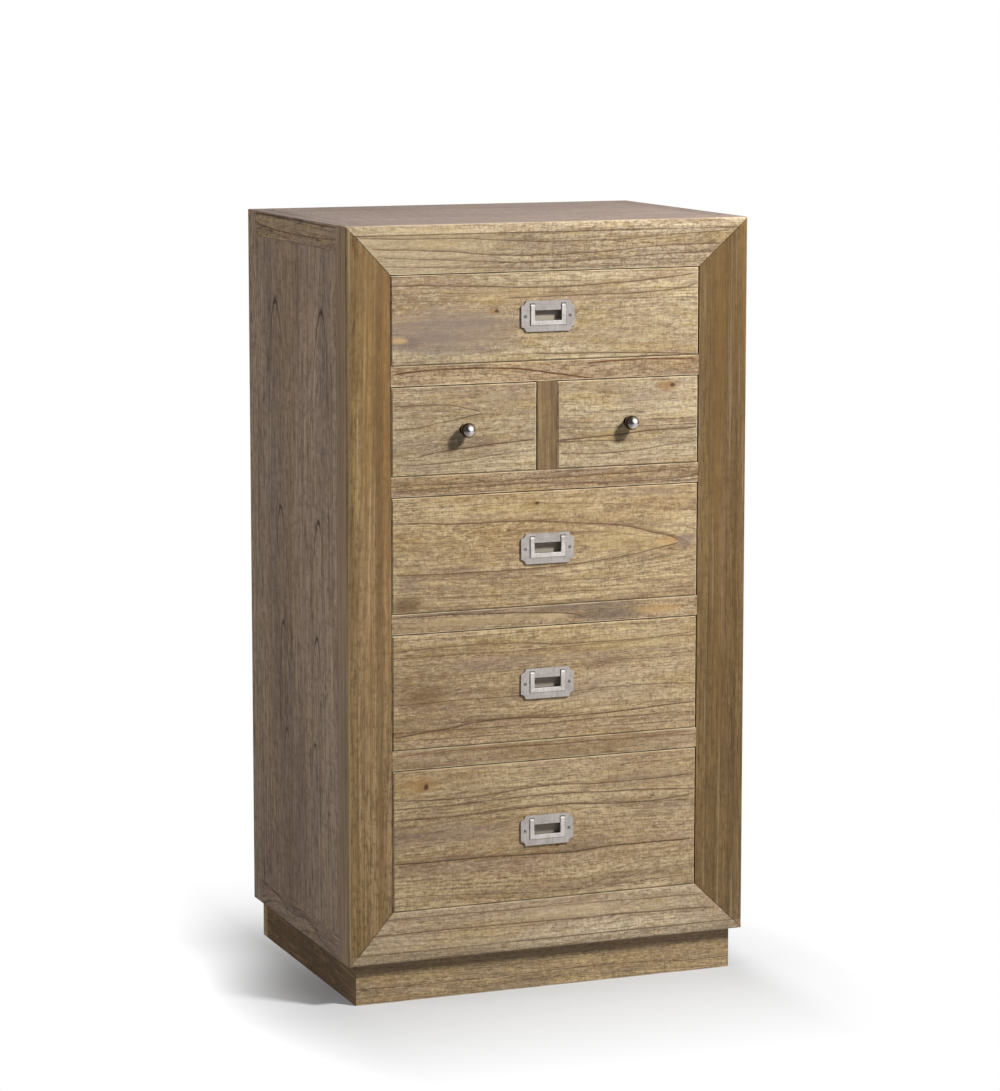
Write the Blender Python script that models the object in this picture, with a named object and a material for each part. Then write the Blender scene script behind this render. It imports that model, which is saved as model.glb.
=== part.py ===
"""Chest of drawers in weathered timber, with six drawers behind a mitred picture frame.

The carcass is built as a cabinet maker would build it. Two front stiles and two frame rails meet in mitres
and slope in towards the drawers. Square posts and side rails carry flush panels on tongues, drawer rails are
tenoned into the stiles, and each drawer runs on wooden runners with a guide strip and a rear stop. The wide
drawers have flush pulls: a scalloped plate with a cup behind it, and a bail that swings out on two pins.

Lengths are metres, +X is to the right, +Y to the back and +Z up. The origin is on the floor, in the middle of
the chest's bounding box.
"""

import math

import bmesh
import bpy
from mathutils import Vector

# Overall sizes
WIDTH = 0.600
DEPTH = 0.432
HEIGHT = 1.0875
PLINTH_HEIGHT = 0.0595
PLINTH_SETBACK = 0.014
PLINTH_BOARD = 0.018

# Clearances
JOINT_GAP = 0.0003
FRONT_GAP = 0.0015
FRONT_REST = 0.0008
BOX_CLEARANCE = 0.002
GUIDE_CLEARANCE = 0.0012
HEADROOM = 0.012
OVERRUN = 0.004

# Face frame: its members' width and depth, the flat band on their outer edge, and how far they fall inwards
FRAME_WIDTH = 0.0685
FRAME_DEPTH = 0.040
FRAME_FLAT = 0.014
FRAME_FALL = 0.012
FRAME_ARRIS = 0.003
ARRIS_STEPS = 4

# Drawer openings but the bottom one, which takes the height that is left, the rails between them, and the
# upright between the two small drawers
TOP_OPENING = 0.1255
SMALL_OPENING = 0.125
UPPER_OPENING = 0.1635
LOWER_OPENING = 0.1635
RAIL_HEIGHT = 0.028
DIVIDER_WIDTH = 0.029
DIVIDER_BOARD = 0.016
TENON_LENGTH = 0.010
TENON_SHARE = 0.6

# Sides, top, bottom and back
POST = 0.036
SIDE_PANEL = 0.016
TOP_PANEL = 0.020
BOTTOM_PANEL = 0.016
BACK_PANEL = 0.005
TONGUE = 0.006
TONGUE_LENGTH = 0.008
BACK_REBATE = 0.008

# Runners
RUNNER_THICKNESS = 0.012
RUNNER_BEARING = 0.014
GUIDE_HEIGHT = 0.015
STOP_LENGTH = 0.012

# Drawers
FRONT_THICKNESS = 0.020
FRONT_ARRIS = 0.0012
LAP = 0.008
BOX_WALL = 0.012
DRAWER_BOTTOM = 0.005
BOTTOM_GROOVE = 0.006
BOTTOM_LIFT = 0.010

# Flush pull: plate, cup and bail
PLATE_WIDTH = 0.0804
PLATE_HEIGHT = 0.0436
PLATE_THICKNESS = 0.0023
PLATE_SCALLOP = 0.0076
PLATE_CHAMFER = 0.0004
SCALLOP_STEPS = 8
CUP_DEPTH = 0.0085
CUP_WALL = 0.0018
BAIL_WIDTH = 0.0536
BAIL_HEIGHT = 0.0304
BAIL_DROP = 0.0044
BAIL_ARM = 0.0072
BAIL_BAR = 0.0070
BAIL_THICKNESS = 0.004
BAIL_PROUD = 0.0014
BAIL_EASE = 0.001
EASE_STEPS = 3
BAIL_CLEARANCE = 0.00035
FINGER_GAP = 0.0142
KNUCKLE_RADIUS = 0.003
PIN_RADIUS = 0.001
PIN_LENGTH = 0.0012
PIN_CLEARANCE = 0.0001
PIN_STEPS = 12
KNUCKLE_STEPS = 20

# Ball knobs of the small drawers
KNOB_RADIUS = 0.0103
KNOB_REACH = 0.0245
KNOB_NECK = 0.0042
KNOB_FOOT = 0.0076
KNOB_FOOT_THICKNESS = 0.0024
KNOB_STEPS = 36
KNOB_ARC_STEPS = 16

# Planes that the pieces share
SIDE = WIDTH / 2
KNOB_PROUD = KNOB_REACH - FRAME_FALL
FRONT = (KNOB_PROUD - DEPTH) / 2
BACK = FRONT + DEPTH
FLOOR = PLINTH_HEIGHT
TOP = HEIGHT
UPPER_ROWS = (TOP_OPENING, SMALL_OPENING, UPPER_OPENING, LOWER_OPENING)
ROW_NAMES = ("top", "small", "upper", "lower")
BOTTOM_OPENING = TOP - FLOOR - 2 * FRAME_WIDTH - sum(UPPER_ROWS) - len(UPPER_ROWS) * RAIL_HEIGHT
DRAWER_FACE = FRONT + FRAME_FALL
FRAME_BACK = FRONT + FRAME_DEPTH
POST_FRONT = BACK - POST
OPENING_SIDE = SIDE - FRAME_WIDTH
GROOVE_DEPTH = TONGUE_LENGTH + JOINT_GAP
RUNNER_START = FRAME_BACK + JOINT_GAP
RUNNER_END = POST_FRONT - JOINT_GAP
DRAWER_LENGTH = RUNNER_END - STOP_LENGTH - JOINT_GAP - DRAWER_FACE
MITRE_SETBACK = JOINT_GAP / math.sqrt(2)

# The flush pull, measured from the middle of its plate; its face is the plane that the cup's depth starts from
PULL_FACE = -JOINT_GAP - PLATE_THICKNESS
BAIL_TOP = PLATE_HEIGHT / 2 - BAIL_DROP
BAIL_FOOT = BAIL_TOP - BAIL_HEIGHT
PIVOT_Y = PULL_FACE - BAIL_PROUD + KNUCKLE_RADIUS
PIVOT_Z = BAIL_TOP - KNUCKLE_RADIUS
WINDOW_SIDE = BAIL_WIDTH / 2 + BAIL_CLEARANCE
WINDOW_TOP = BAIL_TOP + BAIL_CLEARANCE
WINDOW_FOOT = BAIL_FOOT - BAIL_CLEARANCE
CUP_BACK = PULL_FACE + CUP_DEPTH
PIN_END = WINDOW_SIDE + PIN_LENGTH


def opening_floors():
    """Heights of the drawer openings' lower edges, from the top opening down."""
    floors = []
    height = TOP - FRAME_WIDTH
    for opening in (*UPPER_ROWS, BOTTOM_OPENING):
        height -= opening
        floors.append(height)
        height -= RAIL_HEIGHT
    return floors


def clear_scene():
    for item in list(bpy.data.objects):
        bpy.data.objects.remove(item, do_unlink=True)


def linear(channel):
    """One channel of a screen colour, from 0 to 255, as the light that it stands for."""
    share = channel / 255
    return share / 12.92 if share <= 0.04045 else ((share + 0.055) / 1.055) ** 2.4


def finish(name, colour, roughness, metallic=0.0):
    material = bpy.data.materials.new(name)
    material.use_nodes = True
    shader = material.node_tree.nodes["Principled BSDF"]
    tint = [linear(channel) for channel in colour]
    shader.inputs["Base Color"].default_value = (*tint, 1.0)
    shader.inputs["Roughness"].default_value = roughness
    shader.inputs["Metallic"].default_value = metallic
    material.diffuse_color = (*tint, 1.0)
    return material


def place(name, form, material, parent=None):
    """Makes a bmesh into a named object."""
    bmesh.ops.recalc_face_normals(form, faces=form.faces)
    mesh = bpy.data.meshes.new(name)
    form.to_mesh(mesh)
    form.free()
    mesh.materials.append(material)
    piece = bpy.data.objects.new(name, mesh)
    bpy.context.collection.objects.link(piece)
    piece.parent = parent
    return piece


def change(piece, form, operation):
    """Joins a form to a piece or cuts it out, with a hidden helper in the same place."""
    label = f"{piece.name}_{operation.lower()}_{len(piece.modifiers)}"
    helper = place(label, form, piece.data.materials[0], piece.parent)
    helper.location = piece.location
    helper.hide_render = True
    helper.display_type = "WIRE"
    step = piece.modifiers.new(label, "BOOLEAN")
    step.operation = operation
    step.solver = "EXACT"
    step.object = helper


def join(piece, form):
    change(piece, form, "UNION")


def cut(piece, form):
    change(piece, form, "DIFFERENCE")


def block(low, high):
    """A box between its lowest and its highest corner."""
    form = bmesh.new()
    bmesh.ops.create_cube(form, size=1.0)
    for vertex in form.verts:
        vertex.co = Vector([high[i] if vertex.co[i] > 0 else low[i] for i in range(3)])
    return form


def loft(sections, axis):
    """Skins closed outlines that lie square to an axis, and caps both ends.

    A section is an outline and its place on the axis. An outline point has the two coordinates that the axis
    leaves, in the order X, Y, Z. A slanted section has a function of the point as its place.
    """
    form = bmesh.new()
    rings = []
    for outline, stop in sections:
        ring = []
        for u, v in outline:
            point = [u, v]
            point.insert(axis, stop(u, v) if callable(stop) else stop)
            ring.append(form.verts.new(point))
        rings.append(ring)
    form.faces.new(rings[0])
    form.faces.new(rings[-1])
    for first, second in zip(rings, rings[1:]):
        for i in range(len(first)):
            j = (i + 1) % len(first)
            form.faces.new((first[i], first[j], second[j], second[i]))
    return form


def prism(outline, axis, start, end):
    return loft([(outline, start), (outline, end)], axis)


def eased(low, high, ease, steps):
    """Pairs of inset and place for a solid from low to high whose two rims are rounded."""
    turns = [math.radians(90 * i / steps) for i in range(steps + 1)]
    rim = [(ease * (1 - math.sin(turn)), ease * (1 - math.cos(turn))) for turn in turns]
    return [(inset, low + rise) for inset, rise in rim] + [(inset, high - rise) for inset, rise in rim[::-1]]


def rod(radius, low, high, y, z, steps, ease=0.0):
    """A round bar along X, with the rims of its ends rounded if an ease is given."""
    stops = eased(low, high, ease, EASE_STEPS) if ease else [(0, low), (0, high)]
    sections = []
    for inset, stop in stops:
        ring = arc((y, z), (radius - inset, radius - inset), 0, 360, steps)
        sections.append((ring[:-1], stop))
    return loft(sections, 0)


def arc(centre, radii, first, last, steps):
    """Points on an elliptical arc, with its angles in degrees."""
    points = []
    for i in range(steps + 1):
        angle = math.radians(first + (last - first) * i / steps)
        points.append((centre[0] + radii[0] * math.cos(angle), centre[1] + radii[1] * math.sin(angle)))
    return points


def sided(hand, near, far):
    """Lower and upper X of a span on the left (-1) or the right (1), from distances to the middle."""
    return sorted((hand * near, hand * far))


def smooth(piece):
    piece.data.shade_smooth()
    piece.data.set_sharp_from_angle(angle=math.radians(35))


def groove_span(thickness):
    """Where the groove for a flush panel starts and ends, measured from the panel's outer face."""
    start = (thickness - TONGUE) / 2 - JOINT_GAP
    return start, start + TONGUE + 2 * JOINT_GAP


def tongue_span(thickness):
    start = (thickness - TONGUE) / 2
    return start, start + TONGUE


def frame_section(thickness):
    """Outline of a frame member: distance in from its outer face, and distance back from its front."""
    start, end = groove_span(thickness)
    deep = FRAME_DEPTH - GROOVE_DEPTH
    arris = arc((FRAME_ARRIS, FRAME_ARRIS), (FRAME_ARRIS, FRAME_ARRIS), 180, 270, ARRIS_STEPS)
    return [
        (0, FRAME_DEPTH),
        *arris,
        (FRAME_FLAT, 0),
        (FRAME_WIDTH, FRAME_FALL),
        (FRAME_WIDTH, FRAME_DEPTH),
        (end, FRAME_DEPTH),
        (end, deep),
        (start, deep),
        (start, FRAME_DEPTH),
    ]


def tenon_span(middle, size):
    half = size * TENON_SHARE / 2
    return middle - half, middle + half


def drawer_rail_tenon(floor, clearance):
    """Y and Z spans of the tenon on the rail below an opening, or of its mortise."""
    y_low, y_high = tenon_span((DRAWER_FACE + FRAME_BACK) / 2, FRAME_DEPTH - FRAME_FALL)
    z_low, z_high = tenon_span(floor - RAIL_HEIGHT / 2, RAIL_HEIGHT)
    return (y_low - clearance, y_high + clearance), (z_low - clearance, z_high + clearance)


def build_face_frame(wood):
    """Two stiles and two rails, mitred together, with mortises for the drawer rails."""
    for name, hand in (("left", -1), ("right", 1)):
        outline = [(hand * (SIDE - a), FRONT + d) for a, d in frame_section(SIDE_PANEL)]
        stile = place(
            f"frame_stile_{name}",
            prism(
                outline,
                2,
                lambda x, y: FLOOR + SIDE - abs(x) + MITRE_SETBACK,
                lambda x, y: TOP - SIDE + abs(x) - MITRE_SETBACK,
            ),
            wood,
        )
        for floor in opening_floors()[:-1]:
            (y_low, y_high), (z_low, z_high) = drawer_rail_tenon(floor, JOINT_GAP)
            ends = sided(hand, OPENING_SIDE - OVERRUN, OPENING_SIDE + TENON_LENGTH + JOINT_GAP)
            cut(stile, block((ends[0], y_low, z_low), (ends[1], y_high, z_high)))
        smooth(stile)
    for name, base, hand, panel in (("top", TOP, -1, TOP_PANEL), ("bottom", FLOOR, 1, BOTTOM_PANEL)):
        outline = [(FRONT + d, base + hand * a) for a, d in frame_section(panel)]
        rail = place(
            f"frame_rail_{name}",
            prism(
                outline,
                0,
                lambda y, z: abs(z - base) + MITRE_SETBACK - SIDE,
                lambda y, z: SIDE - abs(z - base) - MITRE_SETBACK,
            ),
            wood,
        )
        smooth(rail)


def side_rail_tenon():
    """How far in from the top or the bottom of the body a side rail's tenon starts and ends."""
    low = tongue_span(SIDE_PANEL)[1] + 2 * JOINT_GAP
    return low, POST - GROOVE_DEPTH - JOINT_GAP


def back_panel_heights():
    return FLOOR + BOTTOM_PANEL - BACK_REBATE, TOP - TOP_PANEL + BACK_REBATE


def build_posts(wood):
    """Square back posts, with a stopped groove for the side panel and a stopped rebate for the back."""
    start, end = groove_span(SIDE_PANEL)
    stop = side_rail_tenon()[0] - JOINT_GAP
    low, high = back_panel_heights()
    rebate = BACK - BACK_PANEL - JOINT_GAP
    for name, hand in (("left", -1), ("right", 1)):
        left, right = sided(hand, SIDE, SIDE - POST)
        post = place(f"back_post_{name}", block((left, POST_FRONT, FLOOR), (right, BACK, TOP)), wood)
        left, right = sided(hand, SIDE - start, SIDE - end)
        groove_back = POST_FRONT + GROOVE_DEPTH
        cut(post, block((left, POST_FRONT - OVERRUN, FLOOR + stop), (right, groove_back, TOP - stop)))
        left, right = sided(hand, SIDE - POST - OVERRUN, SIDE - POST + BACK_REBATE)
        cut(post, block((left, rebate, low), (right, BACK + OVERRUN, high)))


def side_rail_section(panel):
    """Distance in from the outer side, and from the top or the bottom of the body that the rail lies along."""
    start, end = groove_span(SIDE_PANEL)
    low, high = groove_span(panel)
    deep = POST - GROOVE_DEPTH
    return [
        (0, 0),
        (0, POST),
        (start, POST),
        (start, deep),
        (end, deep),
        (end, POST),
        (POST, POST),
        (POST, high),
        (deep, high),
        (deep, low),
        (POST, low),
        (POST, 0),
    ]


def build_side_rails(wood):
    """Rails along the top and the bottom of each side, with stub tenons in the panel grooves."""
    tenon_in, tenon_out = tongue_span(SIDE_PANEL)
    tenon_low, tenon_high = side_rail_tenon()
    for level, base, rise, panel in (("top", TOP, -1, TOP_PANEL), ("bottom", FLOOR, 1, BOTTOM_PANEL)):
        for name, hand in (("left", -1), ("right", 1)):
            outline = [(hand * (SIDE - a), base + rise * b) for a, b in side_rail_section(panel)]
            rail = place(f"side_rail_{level}_{name}", prism(outline, 1, RUNNER_START, RUNNER_END), wood)
            left, right = sided(hand, SIDE - tenon_in, SIDE - tenon_out)
            low, high = sorted((base + rise * tenon_low, base + rise * tenon_high))
            tenon = block(
                (left, FRAME_BACK - TONGUE_LENGTH, low),
                (right, POST_FRONT + TONGUE_LENGTH, high),
            )
            join(rail, tenon)


def build_side_panels(wood):
    """Panels flush with their frame, held by a tongue all round."""
    tongue_in, tongue_out = tongue_span(SIDE_PANEL)
    low, high = FLOOR + POST, TOP - POST
    for name, hand in (("left", -1), ("right", 1)):
        left, right = sided(hand, SIDE, SIDE - SIDE_PANEL)
        body = block((left, RUNNER_START, low + JOINT_GAP), (right, RUNNER_END, high - JOINT_GAP))
        panel = place(f"side_panel_{name}", body, wood)
        left, right = sided(hand, SIDE - tongue_in, SIDE - tongue_out)
        tongue = block(
            (left, FRAME_BACK - TONGUE_LENGTH, low - TONGUE_LENGTH),
            (right, POST_FRONT + TONGUE_LENGTH, high + TONGUE_LENGTH),
        )
        join(panel, tongue)


def tongued_board(name, outer, inward, thickness, material):
    """A board between the side rails, from its outer face inwards.

    It has tongues at its sides and front, and a rebate for the back along its inner rear edge.
    """
    half = SIDE - POST
    faces = sorted((outer, outer + inward * thickness))
    board = place(
        name,
        block((JOINT_GAP - half, RUNNER_START, faces[0]), (half - JOINT_GAP, BACK, faces[1])),
        material,
    )
    start, end = tongue_span(thickness)
    tongue = sorted((outer + inward * start, outer + inward * end))
    join(
        board,
        block(
            (-half - TONGUE_LENGTH, FRAME_BACK - TONGUE_LENGTH, tongue[0]),
            (half + TONGUE_LENGTH, RUNNER_END, tongue[1]),
        ),
    )
    inner = outer + inward * thickness
    rebate = sorted((inner + inward * OVERRUN, inner - inward * BACK_REBATE))
    cut(
        board,
        block(
            (-SIDE, BACK - BACK_PANEL - JOINT_GAP, rebate[0]),
            (SIDE, BACK + OVERRUN, rebate[1]),
        ),
    )
    return board


def bearing_spans(opening_side):
    """Distances from the middle: inner edge of the bearing, and inner face of the guide."""
    box_side = opening_side - BOX_CLEARANCE
    return box_side - RUNNER_BEARING, box_side + GUIDE_CLEARANCE


def guide_outline(hand, inner, guide, outer):
    """A guide strip that turns in at the back to stop the drawer."""
    stop = RUNNER_END - STOP_LENGTH
    points = [
        (outer, RUNNER_START),
        (outer, RUNNER_END),
        (inner, RUNNER_END),
        (inner, stop),
        (guide, stop),
        (guide, RUNNER_START),
    ]
    return [(hand * x, y) for x, y in points]


def build_top_and_back(top_wood, board):
    tongued_board("top_panel", TOP, -1, TOP_PANEL, top_wood)
    half = SIDE - POST + BACK_REBATE - JOINT_GAP
    low, high = back_panel_heights()
    body = block((-half, BACK - BACK_PANEL, low + JOINT_GAP), (half, BACK, high - JOINT_GAP))
    place("back_panel", body, board)


def build_bottom(wood):
    """The bottom board, and the two bearers that carry the bottom drawer."""
    bottom = tongued_board("bottom_panel", FLOOR, 1, BOTTOM_PANEL, wood)
    bearing = opening_floors()[-1]
    inner, guide = bearing_spans(OPENING_SIDE)
    outer = SIDE - POST - JOINT_GAP
    inside = FLOOR + BOTTOM_PANEL / 2
    for hand in (-1, 1):
        left, right = sided(hand, inner, outer)
        join(bottom, block((left, RUNNER_START, inside), (right, RUNNER_END, bearing)))
        strip = guide_outline(hand, inner, guide, outer)
        join(bottom, prism(strip, 2, bearing - RUNNER_THICKNESS, bearing + GUIDE_HEIGHT))


def build_runners(wood):
    """A runner on each side below every drawer but the bottom one, level with the drawer rail."""
    inner, guide = bearing_spans(OPENING_SIDE)
    outer = SIDE - SIDE_PANEL - JOINT_GAP
    for level, bearing in zip(ROW_NAMES, opening_floors()):
        for name, hand in (("left", -1), ("right", 1)):
            left, right = sided(hand, inner, outer)
            low = (left, RUNNER_START, bearing - RUNNER_THICKNESS)
            runner = place(f"{level}_runner_{name}", block(low, (right, RUNNER_END, bearing)), wood)
            strip = guide_outline(hand, inner, guide, outer)
            join(runner, prism(strip, 2, bearing - RUNNER_THICKNESS / 2, bearing + GUIDE_HEIGHT))


def divider_tenon(clearance):
    """X and Y spans of the divider's tenons, or of their mortises."""
    y_low, y_high = tenon_span((DRAWER_FACE + FRAME_BACK) / 2, FRAME_DEPTH - FRAME_FALL)
    x_low, x_high = tenon_span(0, DIVIDER_WIDTH)
    return (x_low - clearance, x_high + clearance), (y_low - clearance, y_high + clearance)


def build_drawer_rails(wood):
    """Rails between the drawers, tenoned into the stiles and mortised for the divider."""
    floors = opening_floors()
    small_floor = floors[1]
    small_ceiling = small_floor + SMALL_OPENING
    for name, floor in zip(ROW_NAMES, floors):
        half = OPENING_SIDE - JOINT_GAP
        low = (-half, DRAWER_FACE, floor - RAIL_HEIGHT)
        rail = place(f"{name}_drawer_rail", block(low, (half, FRAME_BACK, floor)), wood)
        (y_low, y_high), (z_low, z_high) = drawer_rail_tenon(floor, 0)
        reach = OPENING_SIDE + TENON_LENGTH
        join(rail, block((-reach, y_low, z_low), (reach, y_high, z_high)))
        (x_low, x_high), (y_low, y_high) = divider_tenon(JOINT_GAP)
        deep = TENON_LENGTH + JOINT_GAP
        if name == "top":
            cut(rail, block((x_low, y_low, small_ceiling - OVERRUN), (x_high, y_high, small_ceiling + deep)))
        if name == "small":
            cut(rail, block((x_low, y_low, small_floor - deep), (x_high, y_high, small_floor + OVERRUN)))


def build_divider(wood):
    """The upright between the small drawers, with the board behind it that carries their inner sides."""
    floor = opening_floors()[1]
    ceiling = floor + SMALL_OPENING
    half = DIVIDER_WIDTH / 2
    low = (-half, DRAWER_FACE, floor + JOINT_GAP)
    divider = place("centre_divider", block(low, (half, FRAME_BACK, ceiling - JOINT_GAP)), wood)
    (x_low, x_high), (y_low, y_high) = divider_tenon(0)
    join(
        divider,
        block((x_low, y_low, floor - TENON_LENGTH), (x_high, y_high, ceiling + TENON_LENGTH)),
    )
    end = BACK - BACK_PANEL - JOINT_GAP
    board = DIVIDER_BOARD / 2
    inside = (DRAWER_FACE + FRAME_BACK) / 2
    join(divider, block((-board, inside, floor + JOINT_GAP), (board, end, ceiling - JOINT_GAP)))
    bearing = half + BOX_CLEARANCE + RUNNER_BEARING
    guide = half + BOX_CLEARANCE - GUIDE_CLEARANCE
    join(divider, block((-bearing, RUNNER_START, floor - RUNNER_THICKNESS), (bearing, end, floor)))
    middle = floor - RUNNER_THICKNESS / 2
    join(divider, block((-guide, RUNNER_START, middle), (guide, end, floor + GUIDE_HEIGHT)))
    join(
        divider,
        block((-bearing, RUNNER_END - STOP_LENGTH, middle), (bearing, end, floor + GUIDE_HEIGHT)),
    )


def build_plinth(wood):
    """Four boards, mitred at the front corners, set back at the front and sides and flush behind."""
    top = FLOOR - JOINT_GAP
    side = SIDE - PLINTH_SETBACK
    front = FRONT + PLINTH_SETBACK
    front_outline = [
        (MITRE_SETBACK - side, front),
        (side - MITRE_SETBACK, front),
        (side - PLINTH_BOARD - MITRE_SETBACK, front + PLINTH_BOARD),
        (PLINTH_BOARD + MITRE_SETBACK - side, front + PLINTH_BOARD),
    ]
    place("plinth_front", prism(front_outline, 2, 0, top), wood)
    rear = BACK - PLINTH_BOARD - JOINT_GAP
    for name, hand in (("left", -1), ("right", 1)):
        points = [
            (side, front + MITRE_SETBACK),
            (side, rear),
            (side - PLINTH_BOARD, rear),
            (side - PLINTH_BOARD, front + PLINTH_BOARD + MITRE_SETBACK),
        ]
        place(f"plinth_{name}", prism([(hand * x, y) for x, y in points], 2, 0, top), wood)
    place("plinth_back", block((-side, BACK - PLINTH_BOARD, 0), (side, BACK, top)), wood)


def plate_outline():
    """The pull's plate seen from the front, with a hollow scallop at each corner."""
    half_width, half_height = PLATE_WIDTH / 2, PLATE_HEIGHT / 2
    radii = (PLATE_SCALLOP, PLATE_SCALLOP)
    corners = (
        ((half_width, half_height), 270, 180),
        ((-half_width, half_height), 360, 270),
        ((-half_width, -half_height), 90, 0),
        ((half_width, -half_height), 180, 90),
    )
    points = []
    for corner, first, last in corners:
        points += arc(corner, radii, first, last, SCALLOP_STEPS)
    return points


def window_outline():
    """The opening that the bail lies in, around the tongue that hangs from the plate's upper edge."""
    tongue_side = BAIL_WIDTH / 2 - BAIL_ARM - BAIL_CLEARANCE
    tongue_foot = BAIL_FOOT + BAIL_BAR + FINGER_GAP
    return [
        (-WINDOW_SIDE, WINDOW_TOP),
        (-tongue_side, WINDOW_TOP),
        (-tongue_side, tongue_foot),
        (tongue_side, tongue_foot),
        (tongue_side, WINDOW_TOP),
        (WINDOW_SIDE, WINDOW_TOP),
        (WINDOW_SIDE, WINDOW_FOOT),
        (-WINDOW_SIDE, WINDOW_FOOT),
    ]


def bail_outline(inset):
    """A U, measured from its pivot, drawn in from its outline by an inset."""
    outer = BAIL_WIDTH / 2 - inset
    inner = BAIL_WIDTH / 2 - BAIL_ARM + inset
    foot = BAIL_FOOT - PIVOT_Z + inset
    bar = BAIL_FOOT - PIVOT_Z + BAIL_BAR - inset
    return [
        (-outer, 0),
        (-outer, foot),
        (outer, foot),
        (outer, 0),
        (inner, 0),
        (inner, bar),
        (-inner, bar),
        (-inner, 0),
    ]


def lifted(outline, height):
    return [(x, z + height) for x, z in outline]


def ease_face(form, depth, ease, segments):
    """Rounds or chamfers the edges that lie wholly in front of a depth, which are the front face's outline."""
    rim = [edge for edge in form.edges if all(vertex.co.y < depth for vertex in edge.verts)]
    bmesh.ops.bevel(form, geom=rim, offset=ease, segments=segments, affect="EDGES")


def build_plate(name, parent, middle, metal):
    """The plate of a flush pull and the cup behind it in one casting, with two blind holes for the pins."""
    form = prism(lifted(plate_outline(), middle), 1, PULL_FACE, -JOINT_GAP)
    ease_face(form, PULL_FACE / 2, PLATE_CHAMFER, 1)
    plate = place(f"{name}_pull_plate", form, metal, parent)
    inside = PULL_FACE + PLATE_THICKNESS / 2
    cup_side = WINDOW_SIDE + CUP_WALL
    cup = block(
        (-cup_side, inside, middle + WINDOW_FOOT - CUP_WALL),
        (cup_side, CUP_BACK + CUP_WALL, middle + WINDOW_TOP + CUP_WALL),
    )
    hollow = block(
        (-WINDOW_SIDE, -JOINT_GAP, middle + WINDOW_FOOT),
        (WINDOW_SIDE, CUP_BACK, middle + WINDOW_TOP),
    )
    join(plate, cup)
    cut(plate, hollow)
    cut(plate, prism(lifted(window_outline(), middle), 1, PULL_FACE - OVERRUN, CUP_BACK - CUP_WALL))
    hole = PIN_RADIUS + PIN_CLEARANCE
    for hand in (-1, 1):
        low, high = sided(hand, WINDOW_SIDE - BAIL_ARM / 2, PIN_END + JOINT_GAP)
        cut(plate, rod(hole, low, high, PIVOT_Y, middle + PIVOT_Z, PIN_STEPS))
    smooth(plate)


def build_bail(name, parent, middle, metal):
    """The bail: a U with rounded rims, a knuckle at the head of each arm, and the pins that it turns on."""
    stops = eased(-KNUCKLE_RADIUS, BAIL_THICKNESS - KNUCKLE_RADIUS, BAIL_EASE, EASE_STEPS)
    form = loft([(bail_outline(inset), stop) for inset, stop in stops], 1)
    bail = place(f"{name}_pull_bail", form, metal, parent)
    bail.location = (0, PIVOT_Y, middle + PIVOT_Z)
    outer = BAIL_WIDTH / 2
    for hand in (-1, 1):
        low, high = sided(hand, outer, outer - BAIL_ARM)
        join(bail, rod(KNUCKLE_RADIUS, low, high, 0, 0, KNUCKLE_STEPS, BAIL_EASE))
        low, high = sided(hand, PIN_END, outer - BAIL_ARM / 2)
        join(bail, rod(PIN_RADIUS, low, high, 0, 0, PIN_STEPS))
    smooth(bail)


def build_knob(name, parent, middle, metal):
    """A turned ball on a short neck and a small foot, lathed about the line that it points along."""
    centre = KNOB_REACH - KNOB_RADIUS
    neck_angle = math.degrees(math.asin(KNOB_NECK / KNOB_RADIUS))
    ball = arc((0, centre), (KNOB_RADIUS, KNOB_RADIUS), 90, neck_angle - 90, KNOB_ARC_STEPS)
    foot_top = JOINT_GAP + KNOB_FOOT_THICKNESS
    profile = [
        *ball,
        (KNOB_NECK, foot_top),
        (KNOB_FOOT, foot_top - KNOB_FOOT_THICKNESS / 2),
        (KNOB_FOOT, JOINT_GAP),
        (0, JOINT_GAP),
    ]
    form = bmesh.new()
    points = [form.verts.new((radius, -out, middle)) for radius, out in profile]
    edges = [form.edges.new(pair) for pair in zip(points, points[1:])]
    bmesh.ops.spin(
        form,
        geom=points + edges,
        cent=(0, 0, middle),
        axis=(0, 1, 0),
        angle=math.tau,
        steps=KNOB_STEPS,
        use_merge=True,
    )
    bmesh.ops.remove_doubles(form, verts=form.verts, dist=JOINT_GAP / KNOB_STEPS)
    smooth(place(f"{name}_knob", form, metal, parent))


def drawer_box_spans(width):
    """Half widths of a drawer box outside and inside."""
    outer = width / 2 - BOX_CLEARANCE
    return outer, outer - BOX_WALL


def build_front(name, parent, width, height, wood):
    """A drawer front, lapped over the ends of the box's sides; it hangs nearest to the board below it."""
    half = width / 2 - FRONT_GAP
    form = block((-half, 0, FRONT_REST), (half, FRONT_THICKNESS, height - FRONT_GAP))
    ease_face(form, FRONT_THICKNESS / 2, FRONT_ARRIS, 2)
    front = place(f"{name}_front", form, wood, parent)
    inner = drawer_box_spans(width)[1]
    for hand in (-1, 1):
        low, high = sided(hand, inner - JOINT_GAP, half + OVERRUN)
        housing = block(
            (low, FRONT_THICKNESS - LAP - JOINT_GAP, -OVERRUN),
            (high, FRONT_THICKNESS + OVERRUN, height - HEADROOM + JOINT_GAP),
        )
        cut(front, housing)
    return front


def build_box(name, parent, width, height, wood):
    """The two sides and the back of a drawer's box, open to the front."""
    outer, inner = drawer_box_spans(width)
    lap = FRONT_THICKNESS - LAP
    back = DRAWER_LENGTH - BOX_WALL
    outline = [
        (-outer, lap),
        (-outer, DRAWER_LENGTH),
        (outer, DRAWER_LENGTH),
        (outer, lap),
        (inner, lap),
        (inner, back),
        (-inner, back),
        (-inner, lap),
    ]
    return place(f"{name}_box", prism(outline, 2, JOINT_GAP, height - HEADROOM), wood, parent)


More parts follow.
